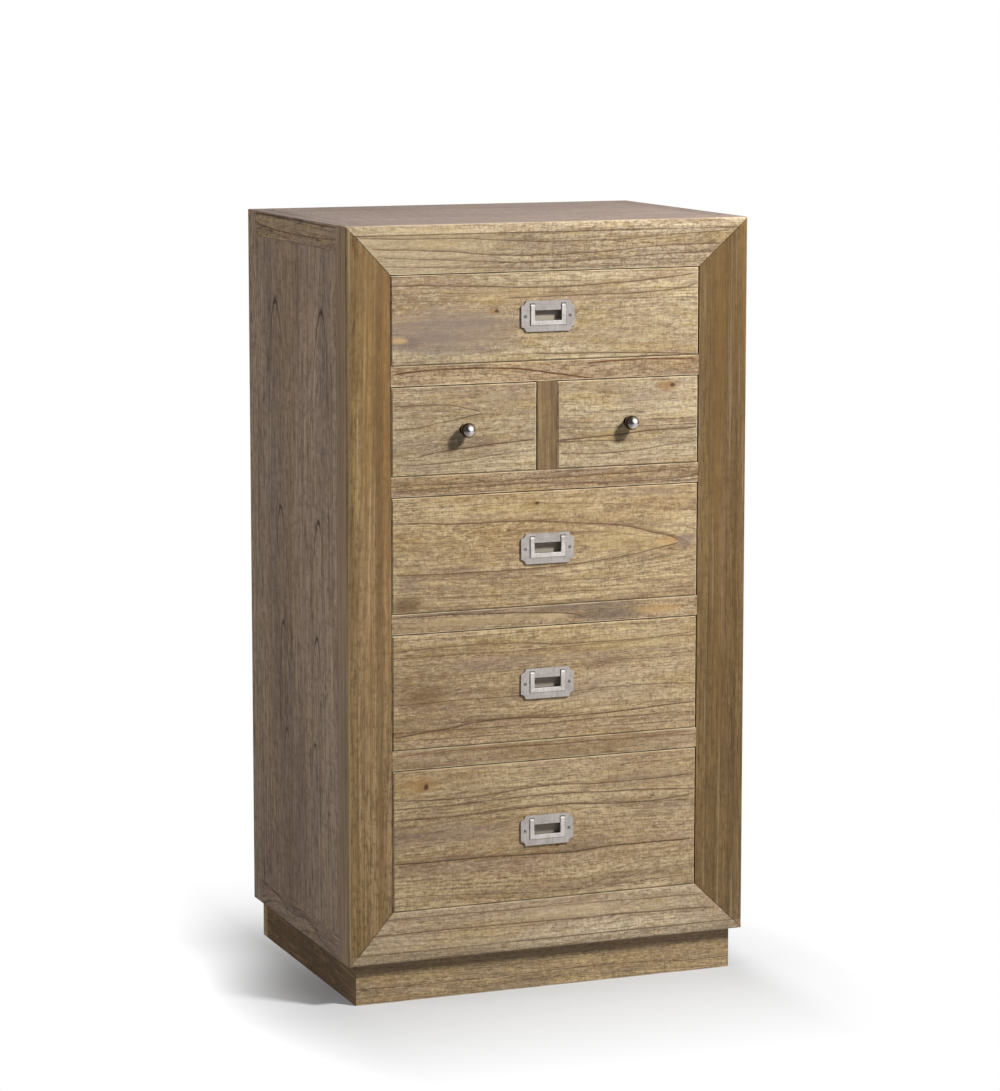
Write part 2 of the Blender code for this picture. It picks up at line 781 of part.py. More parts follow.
def fit_bottom(name, parent, width, front, box, wood):
    """Grooves a drawer's front and box all round, and slides its bottom into them."""
    groove = drawer_box_spans(width)[1] + BOTTOM_GROOVE
    low, high = BOTTOM_LIFT, BOTTOM_LIFT + DRAWER_BOTTOM + 2 * JOINT_GAP
    start = FRONT_THICKNESS - BOTTOM_GROOVE
    end = DRAWER_LENGTH - BOX_WALL + BOTTOM_GROOVE
    cut(box, block((-groove, -OVERRUN, low), (groove, end, high)))
    cut(front, block((-groove, start, low), (groove, FRONT_THICKNESS + OVERRUN, high)))
    board = block(
        (JOINT_GAP - groove, start + JOINT_GAP, low + JOINT_GAP),
        (groove - JOINT_GAP, end - JOINT_GAP, high - JOINT_GAP),
    )
    place(f"{name}_bottom", board, wood, parent)


def cut_pull_pocket(front, middle):
    """The pocket in a drawer front that a pull's cup lies in."""
    margin = CUP_WALL + JOINT_GAP
    side = WINDOW_SIDE + margin
    low = (-side, -OVERRUN, middle + WINDOW_FOOT - margin)
    cut(front, block(low, (side, CUP_BACK + margin, middle + WINDOW_TOP + margin)))


def build_drawer(name, middle_x, floor, width, height, finishes, has_pull):
    """One drawer, measured from the middle of its opening's lower edge on the plane of its face."""
    wood, inside, pull_metal, knob_metal = finishes
    body = bpy.data.objects.new(f"{name}_body", None)
    bpy.context.collection.objects.link(body)
    body.location = (middle_x, DRAWER_FACE, floor)
    front = build_front(name, body, width, height, wood)
    box = build_box(name, body, width, height, inside)
    fit_bottom(name, body, width, front, box, inside)
    middle = height / 2
    if has_pull:
        cut_pull_pocket(front, middle)
        build_plate(name, body, middle, pull_metal)
        build_bail(name, body, middle, pull_metal)
    else:
        build_knob(name, body, middle, knob_metal)


def build_drawers(finishes):
    floors = opening_floors()
    full = 2 * OPENING_SIDE
    small = OPENING_SIDE - DIVIDER_WIDTH / 2
    offset = (OPENING_SIDE + DIVIDER_WIDTH / 2) / 2
    build_drawer("top_drawer", 0, floors[0], full, TOP_OPENING, finishes, True)
    build_drawer("small_drawer_left", -offset, floors[1], small, SMALL_OPENING, finishes, False)
    build_drawer("small_drawer_right", offset, floors[1], small, SMALL_OPENING, finishes, False)
    build_drawer("upper_drawer", 0, floors[2], full, UPPER_OPENING, finishes, True)
    build_drawer("lower_drawer", 0, floors[3], full, LOWER_OPENING, finishes, True)
    build_drawer("bottom_drawer", 0, floors[4], full, BOTTOM_OPENING, finishes, True)


def main():
    clear_scene()
    frame_wood = finish("frame_wood", (158, 128, 86), 0.55)
    front_wood = finish("front_wood", (184, 158, 115), 0.6)
    side_wood = finish("side_wood", (118, 102, 86), 0.6)
    top_wood = finish("top_wood", (160, 143, 130), 0.5)
    inner_wood = finish("inner_wood", (196, 172, 134), 0.7)
    brushed = finish("brushed_nickel", (190, 184, 178), 0.35, 1.0)
    polished = finish("polished_nickel", (205, 200, 192), 0.12, 1.0)
    build_face_frame(frame_wood)
    build_posts(side_wood)
    build_side_rails(side_wood)
    build_side_panels(side_wood)
    build_top_and_back(top_wood, inner_wood)
    build_bottom(inner_wood)
    build_runners(inner_wood)
    build_drawer_rails(front_wood)
    build_divider(frame_wood)
    build_plinth(frame_wood)
    build_drawers((front_wood, inner_wood, brushed, polished))
    print(f"Chest {WIDTH:.3f} x {DEPTH:.3f} x {TOP:.4f} m")


main()
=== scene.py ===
# %% [markdown]
# # A weathered chest of six drawers
# The solids of the chest come ready made and already sit where they belong. This lesson gives them
# their looks: driftwood-coloured boards with rings, knots and pores, brushed pull plates, polished
# knobs and small screws, and then a plain studio round them. The first step loads the solids.

# %% The solids, and the box that they fill
import math
import random

import bmesh
import bpy
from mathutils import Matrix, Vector


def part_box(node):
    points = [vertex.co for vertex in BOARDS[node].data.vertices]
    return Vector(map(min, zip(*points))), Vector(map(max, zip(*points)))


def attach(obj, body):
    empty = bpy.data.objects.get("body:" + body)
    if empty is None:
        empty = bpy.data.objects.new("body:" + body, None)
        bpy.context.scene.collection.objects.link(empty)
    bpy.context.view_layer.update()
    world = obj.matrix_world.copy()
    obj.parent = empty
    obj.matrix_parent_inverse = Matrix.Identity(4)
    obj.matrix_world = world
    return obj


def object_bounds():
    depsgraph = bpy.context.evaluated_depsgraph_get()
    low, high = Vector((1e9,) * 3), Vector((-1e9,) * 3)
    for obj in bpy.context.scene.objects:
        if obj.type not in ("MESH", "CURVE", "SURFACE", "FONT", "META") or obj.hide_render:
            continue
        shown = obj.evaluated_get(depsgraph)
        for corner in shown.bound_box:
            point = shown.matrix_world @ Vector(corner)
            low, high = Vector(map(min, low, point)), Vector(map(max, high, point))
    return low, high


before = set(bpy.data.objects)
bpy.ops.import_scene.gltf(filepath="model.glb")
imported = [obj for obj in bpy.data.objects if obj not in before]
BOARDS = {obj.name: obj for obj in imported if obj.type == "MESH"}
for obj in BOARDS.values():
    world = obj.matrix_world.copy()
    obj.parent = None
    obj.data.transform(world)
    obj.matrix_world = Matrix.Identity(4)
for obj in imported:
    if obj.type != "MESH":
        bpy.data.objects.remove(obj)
SOLID_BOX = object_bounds()
print("boards and fittings:", len(BOARDS), "box:", [list(corner) for corner in SOLID_BOX])

# %% [markdown]
# ## Where the photographer stood
# The picture was taken with a long lens from the left and a little above. A long lens keeps the
# sides of the chest nearly parallel. The place, turn and tilt come from matching the corners of the
# solids to the corners in the picture, and the small shift only frames the chest as the picture does.

# %% The camera
CAMERA_PLACE = (-1.90357, -4.84793, 1.40041)
CAMERA_TURN = 0.37547
CAMERA_TILT = 0.13638
LENS_MM = 119.89
SHIFT_UP = -0.05


def set_camera():
    """A long lens on the upper left front of the chest."""
    lens = bpy.data.cameras.new("studio_camera")
    lens.sensor_fit, lens.sensor_width, lens.sensor_height = "AUTO", 36.0, 36.0
    lens.lens, lens.shift_y = LENS_MM, SHIFT_UP
    camera = bpy.data.objects.new("studio_camera", lens)
    camera.location = CAMERA_PLACE
    camera.rotation_euler = (math.pi / 2 - CAMERA_TILT, 0.0, -CAMERA_TURN)
    bpy.context.scene.collection.objects.link(camera)
    bpy.context.scene.camera = camera
    return camera


bpy.context.scene.view_settings.view_transform = "Standard"
print("camera at", list(set_camera().location))

# %% [markdown]
# ## Writing a finish as sums
# A finish is a tree of nodes, and a tree is hard to read when it is wired by hand. So one small
# class stands for a number that changes over a surface. Adding or multiplying two of them adds the
# Math node that does it, and the shader reads like a sum on paper. Colours never go through Math
# nodes, which would turn them grey; they are blended with Mix nodes.

# %% A number that changes over a surface
class Amount:
    """One output of a node; sums written with it add Math nodes to its finish."""

    def __init__(self, finish, socket):
        self.finish, self.socket = finish, socket

    def out(self, name):
        """Another output of the same node."""
        return Amount(self.finish, self.socket.node.outputs[name])

    def __add__(self, other):
        return self.finish.math("ADD", self, other)

    def __sub__(self, other):
        return self.finish.math("SUBTRACT", self, other)

    def __rsub__(self, other):
        return self.finish.math("SUBTRACT", other, self)

    def __mul__(self, other):
        return self.finish.math("MULTIPLY", self, other)

    def __truediv__(self, other):
        return self.finish.math("DIVIDE", self, other)

    def __pow__(self, other):
        return self.finish.math("POWER", self, other)

    def size(self):
        """The number without its sign."""
        return self.finish.math("ABSOLUTE", self)

    def ramp(self, low, high):
        """0 at low and 1 at high, with a soft start and end."""
        ends = {"Value": self, "From Min": low, "From Max": high}
        return self.finish.node("ShaderNodeMapRange", {"interpolation_type": "SMOOTHSTEP"}, ends)


# %% A finish, and the one way to add a node to it
class Finish:
    """A material or a world under construction: node() adds any node, close() joins it up."""

    def __init__(self, name, kind="materials"):
        self.material = getattr(bpy.data, kind).new(name)
        self.material.use_nodes = True
        self.tree = self.material.node_tree
        self.tree.nodes.clear()

    def feed(self, socket, value):
        """Joins an Amount to a socket, or sets the socket to a plain number or colour."""
        if isinstance(value, Amount):
            self.tree.links.new(value.socket, socket)
        elif value is not None:
            socket.default_value = value

    def node(self, kind, settings=None, inputs=None, output=0):
        """Adds a node: its settings first, then the values or links of its sockets."""
        node = self.tree.nodes.new(kind)
        for key, value in (settings or {}).items():
            if key == "bends":
                self.draw_curve(node, value)
            else:
                setattr(node, key, value)
        pairs = inputs.items() if isinstance(inputs, dict) else enumerate(inputs or ())
        for key, value in pairs:
            self.feed(node.inputs[key], value)
        return Amount(self, node.outputs[output]) if node.outputs else None

    def draw_curve(self, node, points):
        """Gives a Float Curve node its points, each (0 to 1, 0 to 1)."""
        curve = node.mapping.curves[0]
        for place, height in points[1:-1]:
            curve.points.new(place, height)
        for point, (place, height) in zip(curve.points, points):
            point.location = (place, height)
        node.mapping.use_clip = False
        node.mapping.update()

    def math(self, operation, *values):
        """One Math node, fed with numbers or Amounts."""
        return self.node("ShaderNodeMath", {"operation": operation}, values)

    def blend(self, share, one, other):
        """Two colours mixed by a share from 0 to 1."""
        settings = {"data_type": "RGBA", "clamp_factor": True}
        return self.node("ShaderNodeMix", settings, {0: share, 6: one, 7: other}, 2)

    def lay(self, colour, layers):
        """Lays thin coats over a colour, each (mask, share, tone)."""
        for mask, share, tone in layers:
            colour = self.blend(mask * share, colour, tone)
        return colour

    def close(self, shader_inputs):
        """Adds the Principled shader and the output, and returns the material."""
        shader = self.node("ShaderNodeBsdfPrincipled", None, shader_inputs)
        self.node("ShaderNodeOutputMaterial", None, {"Surface": shader})
        return self.material


def tint(red, green, blue):
    """A colour from 0 to 255 a channel, as the linear numbers that a shader takes (sRGB's own rule)."""
    def straight(part):
        part /= 255.0
        return part / 12.92 if part <= 0.04045 else ((part + 0.055) / 1.055) ** 2.4
    return (straight(red), straight(green), straight(blue), 1.0)


print("a mid brown in linear numbers:", [round(part, 3) for part in tint(160, 138, 108)])

# %% [markdown]
# ## The studio
# The picture is a cut-out: white all round, with a soft grey shadow close to the plinth. The floor is
# a real floor that catches the shadow and throws some light back up under the chest. Only for the eye of
# the camera does it fade to plain white, within a hand's breadth at the sides and a step in front, so
# that no horizon shows. The world is a dim even sky that fills the shadows. One lamp high on the right
# gives the light a direction, and a wide weak one on the left brightens the side of the chest. Metal
# mirrors neither lamp, only one bright patch of the sky, as it would a window.

# %% Floor
FLOOR_SIZE = 8.0
FLOOR_SEEN, FLOOR_BOUNCE = (0.655, 0.66, 0.667, 1.0), (0.36, 0.36, 0.36, 1.0)
FLOOR_SHINE, SHINE_FADE = 0.92, (-0.4, 0.4)
FRONT_REACH, FRONT_BEND = 0.36, 1.2
SIDE_REACH, SIDE_BEND, SIDE_TURN = (0.155, 0.12), (1.9, 1.0), (-0.12, 0.14)
BACK_LIFT, BACK_FADE = 0.88, (-0.12, 0.55)
RIGHT_LIFT, RIGHT_FADE = 0.70, (0.27, 0.36)
WHITE = (1.0, 1.0, 1.0, 1.0)


def paint_floor(box):
    """White paint that shows its shadow near the chest and is plain white further off. The fade is
    quicker and straighter beside the back of the chest than beside its front."""
    paint = Finish("studio_floor")
    place = paint.node("ShaderNodeTexCoord", output="Object")
    spot = paint.node("ShaderNodeSeparateXYZ", None, (place,))
    beside, ahead = (paint.math("MAXIMUM", spot.out(axis).size() - box[1][side], 0.0)
                     for side, axis in enumerate("XY"))
    turn = spot.out("Y").ramp(*SIDE_TURN)
    reach, bend = (first - turn * (first - last) for first, last in (SIDE_REACH, SIDE_BEND))
    away = paint.math("MINIMUM", (beside / reach) ** bend + (ahead / FRONT_REACH) ** FRONT_BEND, 1.0)
    behind = spot.out("Y").ramp(*BACK_FADE) * BACK_LIFT
    lift = paint.math("MAXIMUM", behind, spot.out("X").ramp(*RIGHT_FADE) * RIGHT_LIFT)
    seen = paint.node("ShaderNodeLightPath", output="Is Camera Ray")
    shine = seen.out("Is Glossy Ray") * spot.out("X").ramp(*SHINE_FADE) * FLOOR_SHINE
    share = seen * (away * (1.0 - lift) + lift) + shine
    tone = paint.blend(seen, FLOOR_BOUNCE, FLOOR_SEEN)
    matt = paint.node("ShaderNodeBsdfDiffuse", None, {"Color": tone})
    white = paint.node("ShaderNodeEmission", None, {"Color": WHITE, "Strength": 1.0})
    mixed = paint.node("ShaderNodeMixShader", None, (share, matt, white))
    paint.node("ShaderNodeOutputMaterial", None, {"Surface": mixed})
    return paint.material


def lay_floor(box):
    """A square sheet on the ground, which is not part of the chest."""
    mesh = bpy.data.meshes.new("studio_floor")
    far = FLOOR_SIZE / 2
    corners = [(-far, -far, 0.0), (far, -far, 0.0), (far, far, 0.0), (-far, far, 0.0)]
    mesh.from_pydata(corners, [], [(0, 1, 2, 3)])
    floor = bpy.data.objects.new("studio_floor", mesh)
    floor.data.materials.append(paint_floor(box))
    bpy.context.scene.collection.objects.link(floor)


lay_floor(SOLID_BOX)
print("floor laid:", FLOOR_SIZE, "m wide")

# %% Sky
SKY_LIGHT = 0.16
DARK_MIRROR, BRIGHT_MIRROR = 0.08, 2.0
BRIGHT_WAY, BRIGHT_FADE = (0.50, -0.72, 0.48), (0.62, 0.95)


def hang_sky():
    """White to the camera, dim and even as a light; a mirror sees one bright patch in a dark room."""
    sky = Finish("studio_sky", "worlds")
    facing = sky.node("ShaderNodeTexCoord", output="Generated")
    dot = {"operation": "DOT_PRODUCT"}
    level = sky.node("ShaderNodeVectorMath", dot, (facing, BRIGHT_WAY), "Value")
    mirror = level.ramp(*BRIGHT_FADE) * (BRIGHT_MIRROR - DARK_MIRROR) + DARK_MIRROR
    path = sky.node("ShaderNodeLightPath", output="Is Camera Ray")
    light = path.out("Is Glossy Ray") * (mirror - SKY_LIGHT) + SKY_LIGHT
    strength = path * (1.0 - light) + light
    shine = sky.node("ShaderNodeBackground", None, {"Color": WHITE, "Strength": strength})
    sky.node("ShaderNodeOutputWorld", None, {"Surface": shine})
    bpy.context.scene.world = sky.material


hang_sky()
print("sky level", SKY_LIGHT)

# %% The lamps
LAMP_AIM = Vector((0.0, -0.2, 0.75))
LAMPS = {
    "key_lamp": (Vector((1.10, -1.62, 2.28)), 0.42, 82.0),
    "fill_lamp": (Vector((-2.4, -0.30, 1.35)), 1.3, 21.0),
}


def hang_lamp(name, place, aim, width, watts):
    """A round soft lamp turned towards a point on the chest, which no mirror shows."""
    light = bpy.data.lights.new(name, "AREA")
    light.shape, light.size, light.energy = "DISK", width, watts
    lamp = bpy.data.objects.new(name, light)
    lamp.location = place
    lamp.rotation_euler = (aim - place).to_track_quat("-Z", "Y").to_euler()
    lamp.visible_glossy = False
    bpy.context.scene.collection.objects.link(lamp)


for name, (place, width, watts) in LAMPS.items():
    hang_lamp(name, place, LAMP_AIM, width, watts)
    print(name, "is", round((place - LAMP_AIM).length, 2), "m from the drawers")

# %% [markdown]
# ## How a board grows
# A tree adds a ring a year round its heart, so a sawn board shows the rings as lines: straight where
# the saw ran far from the heart, and pointed arches where it ran close above it. The shader does the
# same. It works out how far each point lies from a heart line that runs under the board at a slant,
# and draws a ring wherever that distance passes a whole number. Arches then come by themselves.

# %% Directions on a board
BOARD_AXES = {
    "rail": ("X", "Z", "Y"),
    "stile": ("Z", "X", "Y"),
    "side": ("Z", "Y", "X"),
    "side_rail": ("Y", "Z", "X"),
    "top": ("X", "Y", "Z"),
}
MM = 0.001
RIPPLE, SWAY = 5 * MM, 34 * MM


class Board:
    """Metres along, across and through one board, bent a little as real grain is."""

    def __init__(self, finish, way, seed, mirror=None, run=(1.0, 1.0)):
        self.finish, self.seed, self.run = finish, seed, run
        place = finish.node("ShaderNodeTexCoord", output="Object")
        spot = finish.node("ShaderNodeSeparateXYZ", None, (place,))
        self.along, across, self.deep = (spot.out(axis) for axis in BOARD_AXES[way])
        self.plain = across
        if mirror is not None:
            across = (across - mirror).size()
        flat = self.vector(across)
        sway = (self.cloud(1.8, 7.0, 0.0, 1.0, flat) - 0.5) * SWAY
        ripple = (self.cloud(11.0, 34.0, 3.0, 1.0, flat) - 0.5) * RIPPLE
        self.straight = across + ripple
        self.across = self.straight + sway
        self.bent = self.vector(self.plain + ripple + sway)

    def vector(self, across):
        """A place on the board, with its own choice of the distance across."""
        parts = {"X": self.along, "Y": across, "Z": self.deep}
        return self.finish.node("ShaderNodeCombineXYZ", None, parts)

    def cloud(self, along, across, shift, detail=2.0, vector=None, rough=0.55):
        """Soft noise from 0 to 1, with so many blots to a metre along and across the board. The
        board's run makes all of them longer and wider."""
        # Any start will do, if no two clouds share it.
        start = (self.seed + shift, self.seed * 1.7 - shift, shift * 2.3)
        longer, wider = self.run
        scales = (along / longer, across / wider, across / wider)
        stretch = {"Vector": vector or self.bent, "Location": start, "Scale": scales}
        spot = self.finish.node("ShaderNodeMapping", None, stretch)
        inputs = {"Vector": spot, "Scale": 1.0, "Detail": detail, "Roughness": rough}
        return self.finish.node("ShaderNodeTexNoise", None, inputs, "Fac")

    def from_heart(self, heart):
        """Metres from the heart line: heart is (across, slant, depth below, dip) of that line."""
        across, slant, depth, dip = heart
        off = self.across - (self.along * slant + across)
        under = self.finish.math("MAXIMUM", self.along * dip + depth, 0.0)
        return (off * off + under * under) ** 0.5, under


print("ways a board can lie:", ", ".join(BOARD_AXES))

# %% [markdown]
# ## Rings, pores and fibres
# Late wood is the dark edge of each ring, and it comes in slowly and stops short. Some years leave a
# strong line and most a faint one, so each ring draws its own strength. Round it lie the pores, short
# dark dashes, and between the rings run fine pale and dark fibres. Each of these is a mask from 0 to 1.

# %% Masks for rings and fibres
RING_RISE, RING_FALL, RING_FAINT, RING_SPAN = (0.84, 0.955), (0.97, 1.0), 0.12, 0.9
COMB_RISE, COMB_FALL = (0.40, 0.72), (0.86, 1.0)


def ring_mask(board, reach, ring):
    """Dark ring lines, each with its own strength, broken here and there along the board."""
    count = reach / ring
    uneven = {"W": count + board.seed, "Scale": 0.5, "Detail": 1.0}
    count = count + board.finish.node("ShaderNodeTexNoise", {"noise_dimensions": "1D"}, uneven, "Fac")
    year = board.finish.math("FLOOR", count)
    part = count - year
    draw = {"W": year + board.seed}
    strength = board.finish.node("ShaderNodeTexWhiteNoise", {"noise_dimensions": "1D"}, draw, "Value")
    strength = strength * strength * RING_SPAN + RING_FAINT
    line = part.ramp(*RING_RISE) * (1.0 - part.ramp(*RING_FALL))
    gaps = board.cloud(16.0, 60.0, 5.0).ramp(0.3, 0.62)
    shade = part ** 3.0
    return line * strength * (gaps * 0.75 + 0.25), shade * strength


def comb_mask(board, reach, pitch):
    """Patches of fine parallel lines, as a brush leaves in soft wood: the lines, and the patches."""
    part = board.finish.math("FRACT", reach / pitch)
    line = part.ramp(*COMB_RISE) * (1.0 - part.ramp(*COMB_FALL))
    return line, board.cloud(5.0, 26.0, 37.0).ramp(0.50, 0.64)


def pore_mask(board, crowd):
    """Short dark dashes, thickest where the wood is darkest."""
    dash = board.cloud(170.0, 760.0, 7.0, 2.0)
    return (dash + crowd * 0.08).ramp(0.57, 0.66)


print("a ring line begins at", RING_RISE[0], "of its year")

# %% [markdown]
# ## Marks that one board has and no other
# Rings alone give any board. This chest has its own: a flame across the fourth drawer, a few knots,
# long dark veins and blotches of grey and ochre. Each is one small mask placed in millimetres, so
# the marks fall where the real boards have them.

# %% Veins, blots and knots
VEIN_START, VEIN_END = (-0.02, 0.03), (0.97, 1.02)


def vein_mask(board, bends, width, haze_width):
    """A dark line through bends, each (along, across) in millimetres, with a haze on one side."""
    (first, _), (last, _) = bends[0], bends[-1]
    heights = [height for _, height in bends]
    low, high = min(heights) - 1.0, max(heights) + 1.0
    points = [((a - first) / (last - first), (b - low) / (high - low)) for a, b in bends]
    run = (board.along - first * MM) / ((last - first) * MM)
    curve = board.finish.node("ShaderNodeFloatCurve", {"bends": points}, {"Value": run})
    off = (board.straight - (curve * ((high - low) * MM) + low * MM)) / (width * MM)
    line = 1.0 - off.size().ramp(0.3, 1.1)
    spread = off * (width / haze_width)
    haze = (1.0 - spread.ramp(0.0, 1.0)) * spread.ramp(-0.12, 0.04)
    ends = run.ramp(*VEIN_START) * (1.0 - run.ramp(*VEIN_END))
    gaps = board.cloud(45.0, 130.0, 9.0) * 1.1 + 0.45
    return line * ends * gaps, haze * ends


def blot_mask(board, centre, size):
    """A soft oval blot: centre and size are (along, across) in millimetres."""
    reach = []
    for spot, middle, half in zip((board.along, board.straight), centre, size):
        reach.append((spot - middle * MM) / (half * MM))
    far = (reach[0] * reach[0] + reach[1] * reach[1]) ** 0.5
    return far + (board.cloud(60.0, 150.0, 11.0) - 0.5) * 0.5


print("a vein fades in from", VEIN_START[0], "to", VEIN_START[1], "of its length")

# %% [markdown]
# ## The timber finish
# The boards were stained, brushed and rubbed back, so the pale early wood turned straw and ochre and
# the dark wood and the pores kept a grey stain. The finish lays these on coat by coat: ground tone,
# stain clouds, flecks and fibres, ring lines, pores, then this board's own marks, then worn edges.
# Height for the bump comes from the same masks, with the ring lines and the pores sunk a little.

# %% The grain that every board has
COMB_SHARE = 0.33
OCHRE, ORANGE, BLUSH = tint(183, 156, 102), tint(200, 160, 104), tint(188, 162, 138)
MAUVE, SMOKE, RUBBED = tint(134, 115, 106), tint(104, 88, 82), tint(222, 203, 168)


class Grain:
    """The masks of one board's grain, and the coats that follow from them."""

    def __init__(self, board, heart, ring):
        across, slant, depth, dip = heart
        self.reach, self.under = board.from_heart((across * MM, slant, depth * MM, dip))
        self.lines, self.shade = ring_mask(board, self.reach, ring * MM)
        self.comb, self.patches = comb_mask(board, self.reach, ring * COMB_SHARE * MM)
        # Each cloud: blots to a metre along and across, a shift of its own, and its detail.
        self.drift = board.cloud(3.0, 18.0, 13.0, 3.0)
        self.stained = board.cloud(4.5, 30.0, 21.0, 3.0)
        self.warmth = board.cloud(3.5, 24.0, 27.0)
        self.streak = board.cloud(9.0, 230.0, 15.0, 3.0)
        self.hue = board.cloud(26.0, 110.0, 31.0, 3.0, rough=0.7)
        self.fleck = board.cloud(84.0, 290.0, 19.0, 4.0, rough=0.82)
        self.tick = board.cloud(330.0, 110.0, 33.0, 1.0)
        self.fibre = board.cloud(60.0, 1100.0, 17.0)
        self.scratch = board.cloud(9.0, 250.0, 43.0) - 0.5
        self.pores = pore_mask(board, self.shade)
        hair = (board.cloud(7.0, 110.0, 29.0) - 0.5).size().ramp(0.002, 0.016)
        self.hairs = (1.0 - hair) * self.fleck.ramp(0.42, 0.58)
        scored = self.scratch.size().ramp(0.004, 0.03)
        self.scratches = (1.0 - scored) * self.drift.ramp(0.36, 0.60)

    def coats(self, tones, clouds, coarse, rings):
        """Every coat above the ground tone, in the order they are laid: (mask, share, tone)."""
        pale, _, dark, line_tone, stain = tones
        return [
            (self.stained.ramp(0.51, 0.68), 0.75 * clouds, stain),
            (1.0 - self.stained.ramp(0.32, 0.46), 0.60 * clouds, OCHRE),
            (self.warmth.ramp(0.52, 0.68), 0.55 * clouds, BLUSH),
            (self.hue.ramp(0.54, 0.63), 0.52 * clouds, OCHRE),
            (1.0 - self.hue.ramp(0.37, 0.46), 0.52 * clouds, stain),
            (self.shade, 0.40 * rings, stain),
            (self.streak.ramp(0.47, 0.62), 0.42, dark),
            (self.patches, 0.30 * rings, pale),
            (self.comb * self.patches * self.fleck.ramp(0.36, 0.56), 0.50 * rings, line_tone),
            (1.0 - self.fleck.ramp(0.37, 0.49), 0.50 * coarse, pale),
            (self.fleck.ramp(0.51, 0.62), 0.52 * coarse, dark),
            (self.tick.ramp(0.50, 0.64), 0.34 * coarse, dark),
            (self.fibre.ramp(0.48, 0.68), 0.28, dark),
            (self.hairs, 0.55 * coarse, line_tone),
            (self.scratches, 0.34 * coarse, line_tone),
            (self.scratch.ramp(0.10, 0.22), 0.25 * coarse, RUBBED),
            (self.lines, 0.95 * rings, line_tone),
            (self.pores, 0.42 * coarse, line_tone),
        ]

    def arch(self, level, width):
        """A pointed arch, where the ring at this level meets the face; it fades down its arms."""
        off = (self.reach - level) / width
        bow = (self.under / self.reach).ramp(0.30, 0.97)
        glow = (1.0 - (off / 3.0).ramp(0.0, 1.0)) * off.ramp(-0.4, 0.4)
        return (1.0 - off.size().ramp(0.2, 1.0) + glow * 0.25) * bow


print("comb lines to a ring:", round(1 / COMB_SHARE))

# %% One board's own marks
HALO, KNOT, HAZE = tint(142, 96, 50), tint(66, 40, 24), tint(122, 96, 72)


def mark_coats(board, mark, line_tone):
    """The coats of one mark: (kind, where, size, strength, tone), in millimetres along and across.
    A mark without a tone takes the ring line's. A wash is a blot that lies under the grain."""
    kind, where, size, strength, *own_tone = mark
    tone = own_tone[0] if own_tone else line_tone
    if kind == "vein":
        line, haze = vein_mask(board, where, *size)
        return [(haze, 0.45 * strength, HAZE), (line, strength, tone)]
    far = blot_mask(board, where, size)
    if kind == "knot":
        smear = blot_mask(board, (where[0] - size[0], where[1]), (size[0] * 2.6, size[1] * 1.7))
        return [(1.0 - smear.ramp(0.1, 1.1), 0.55 * strength, HALO),
                (1.0 - far.ramp(0.35, 1.0), strength, tone)]
    return [(1.0 - far.ramp(0.35, 1.15), strength, tone)]


print("knot tone:", KNOT[:3])

# %% Mitre joints, a painted shade line, and worn edges
FRAME_SIDE = SOLID_BOX[1][0]
FRAME_FOOT, FRAME_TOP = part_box("frame_rail_bottom")[0].z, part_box("frame_rail_top")[1].z
FRAME_MIDDLE, FRAME_HALF = (FRAME_TOP + FRAME_FOOT) / 2, (FRAME_TOP - FRAME_FOOT) / 2
# The band line is painted shade along the arris where the flat band meets the slope.
BAND, BAND_SHADE = 0.014, {"rail": 1.0, "stile": 0.25}
WORN_BACK = -0.196


def joint_and_shade_mask(board, way):
    """The dark lines of a frame board: the joint at 45 degrees, and a line of painted shade along the
    arris at the foot of its flat outer band, strong on the lying boards and faint on the uprights.
    """
    side, rise = (board.along, board.plain) if way == "rail" else (board.plain, board.along)
    from_side = FRAME_SIDE - side.size()
    from_end = FRAME_HALF - (rise - FRAME_MIDDLE).size()
    joint = 1.0 - (from_side - from_end).size().ramp(0.3 * MM, 1.3 * MM)
    down, in_from = (from_end, from_side) if way == "rail" else (from_side, from_end)
    band = 1.0 - (down - BAND).size().ramp(0.4 * MM, 1.4 * MM)
    dark = (board.cloud(14.0, 60.0, 41.0).ramp(0.3, 0.6) * 0.45 + 0.5) * BAND_SHADE[way]
    return board.finish.math("MAXIMUM", joint, band * dark) * in_from.ramp(0.9 * BAND, BAND)


def worn_edges(board, edges):
    """Pale wear along the lines where the board's faces meet: edges are (axis, place) pairs."""
    near = None
    for spot, place in edges:
        off = (getattr(board, spot) - place).size()
        near = off if near is None else board.finish.math("MINIMUM", near, off)
    rub = board.cloud(30.0, 120.0, 23.0).ramp(0.35, 0.6) * 0.7 + 0.3
    in_front = 1.0 - (board.deep - WORN_BACK).ramp(0.0, MM)
    return (1.0 - near.ramp(0.5 * MM, 1.8 * MM)) * rub * in_front


print("height of the frame:", round(FRAME_TOP - FRAME_FOOT, 4), "m")

# %% Timber from its coats
WORN_SHARE, JOINT_AND_SHADE_SHARE = 0.75, 0.85
RELIEF = {"Strength": 0.35, "Distance": 0.0004}


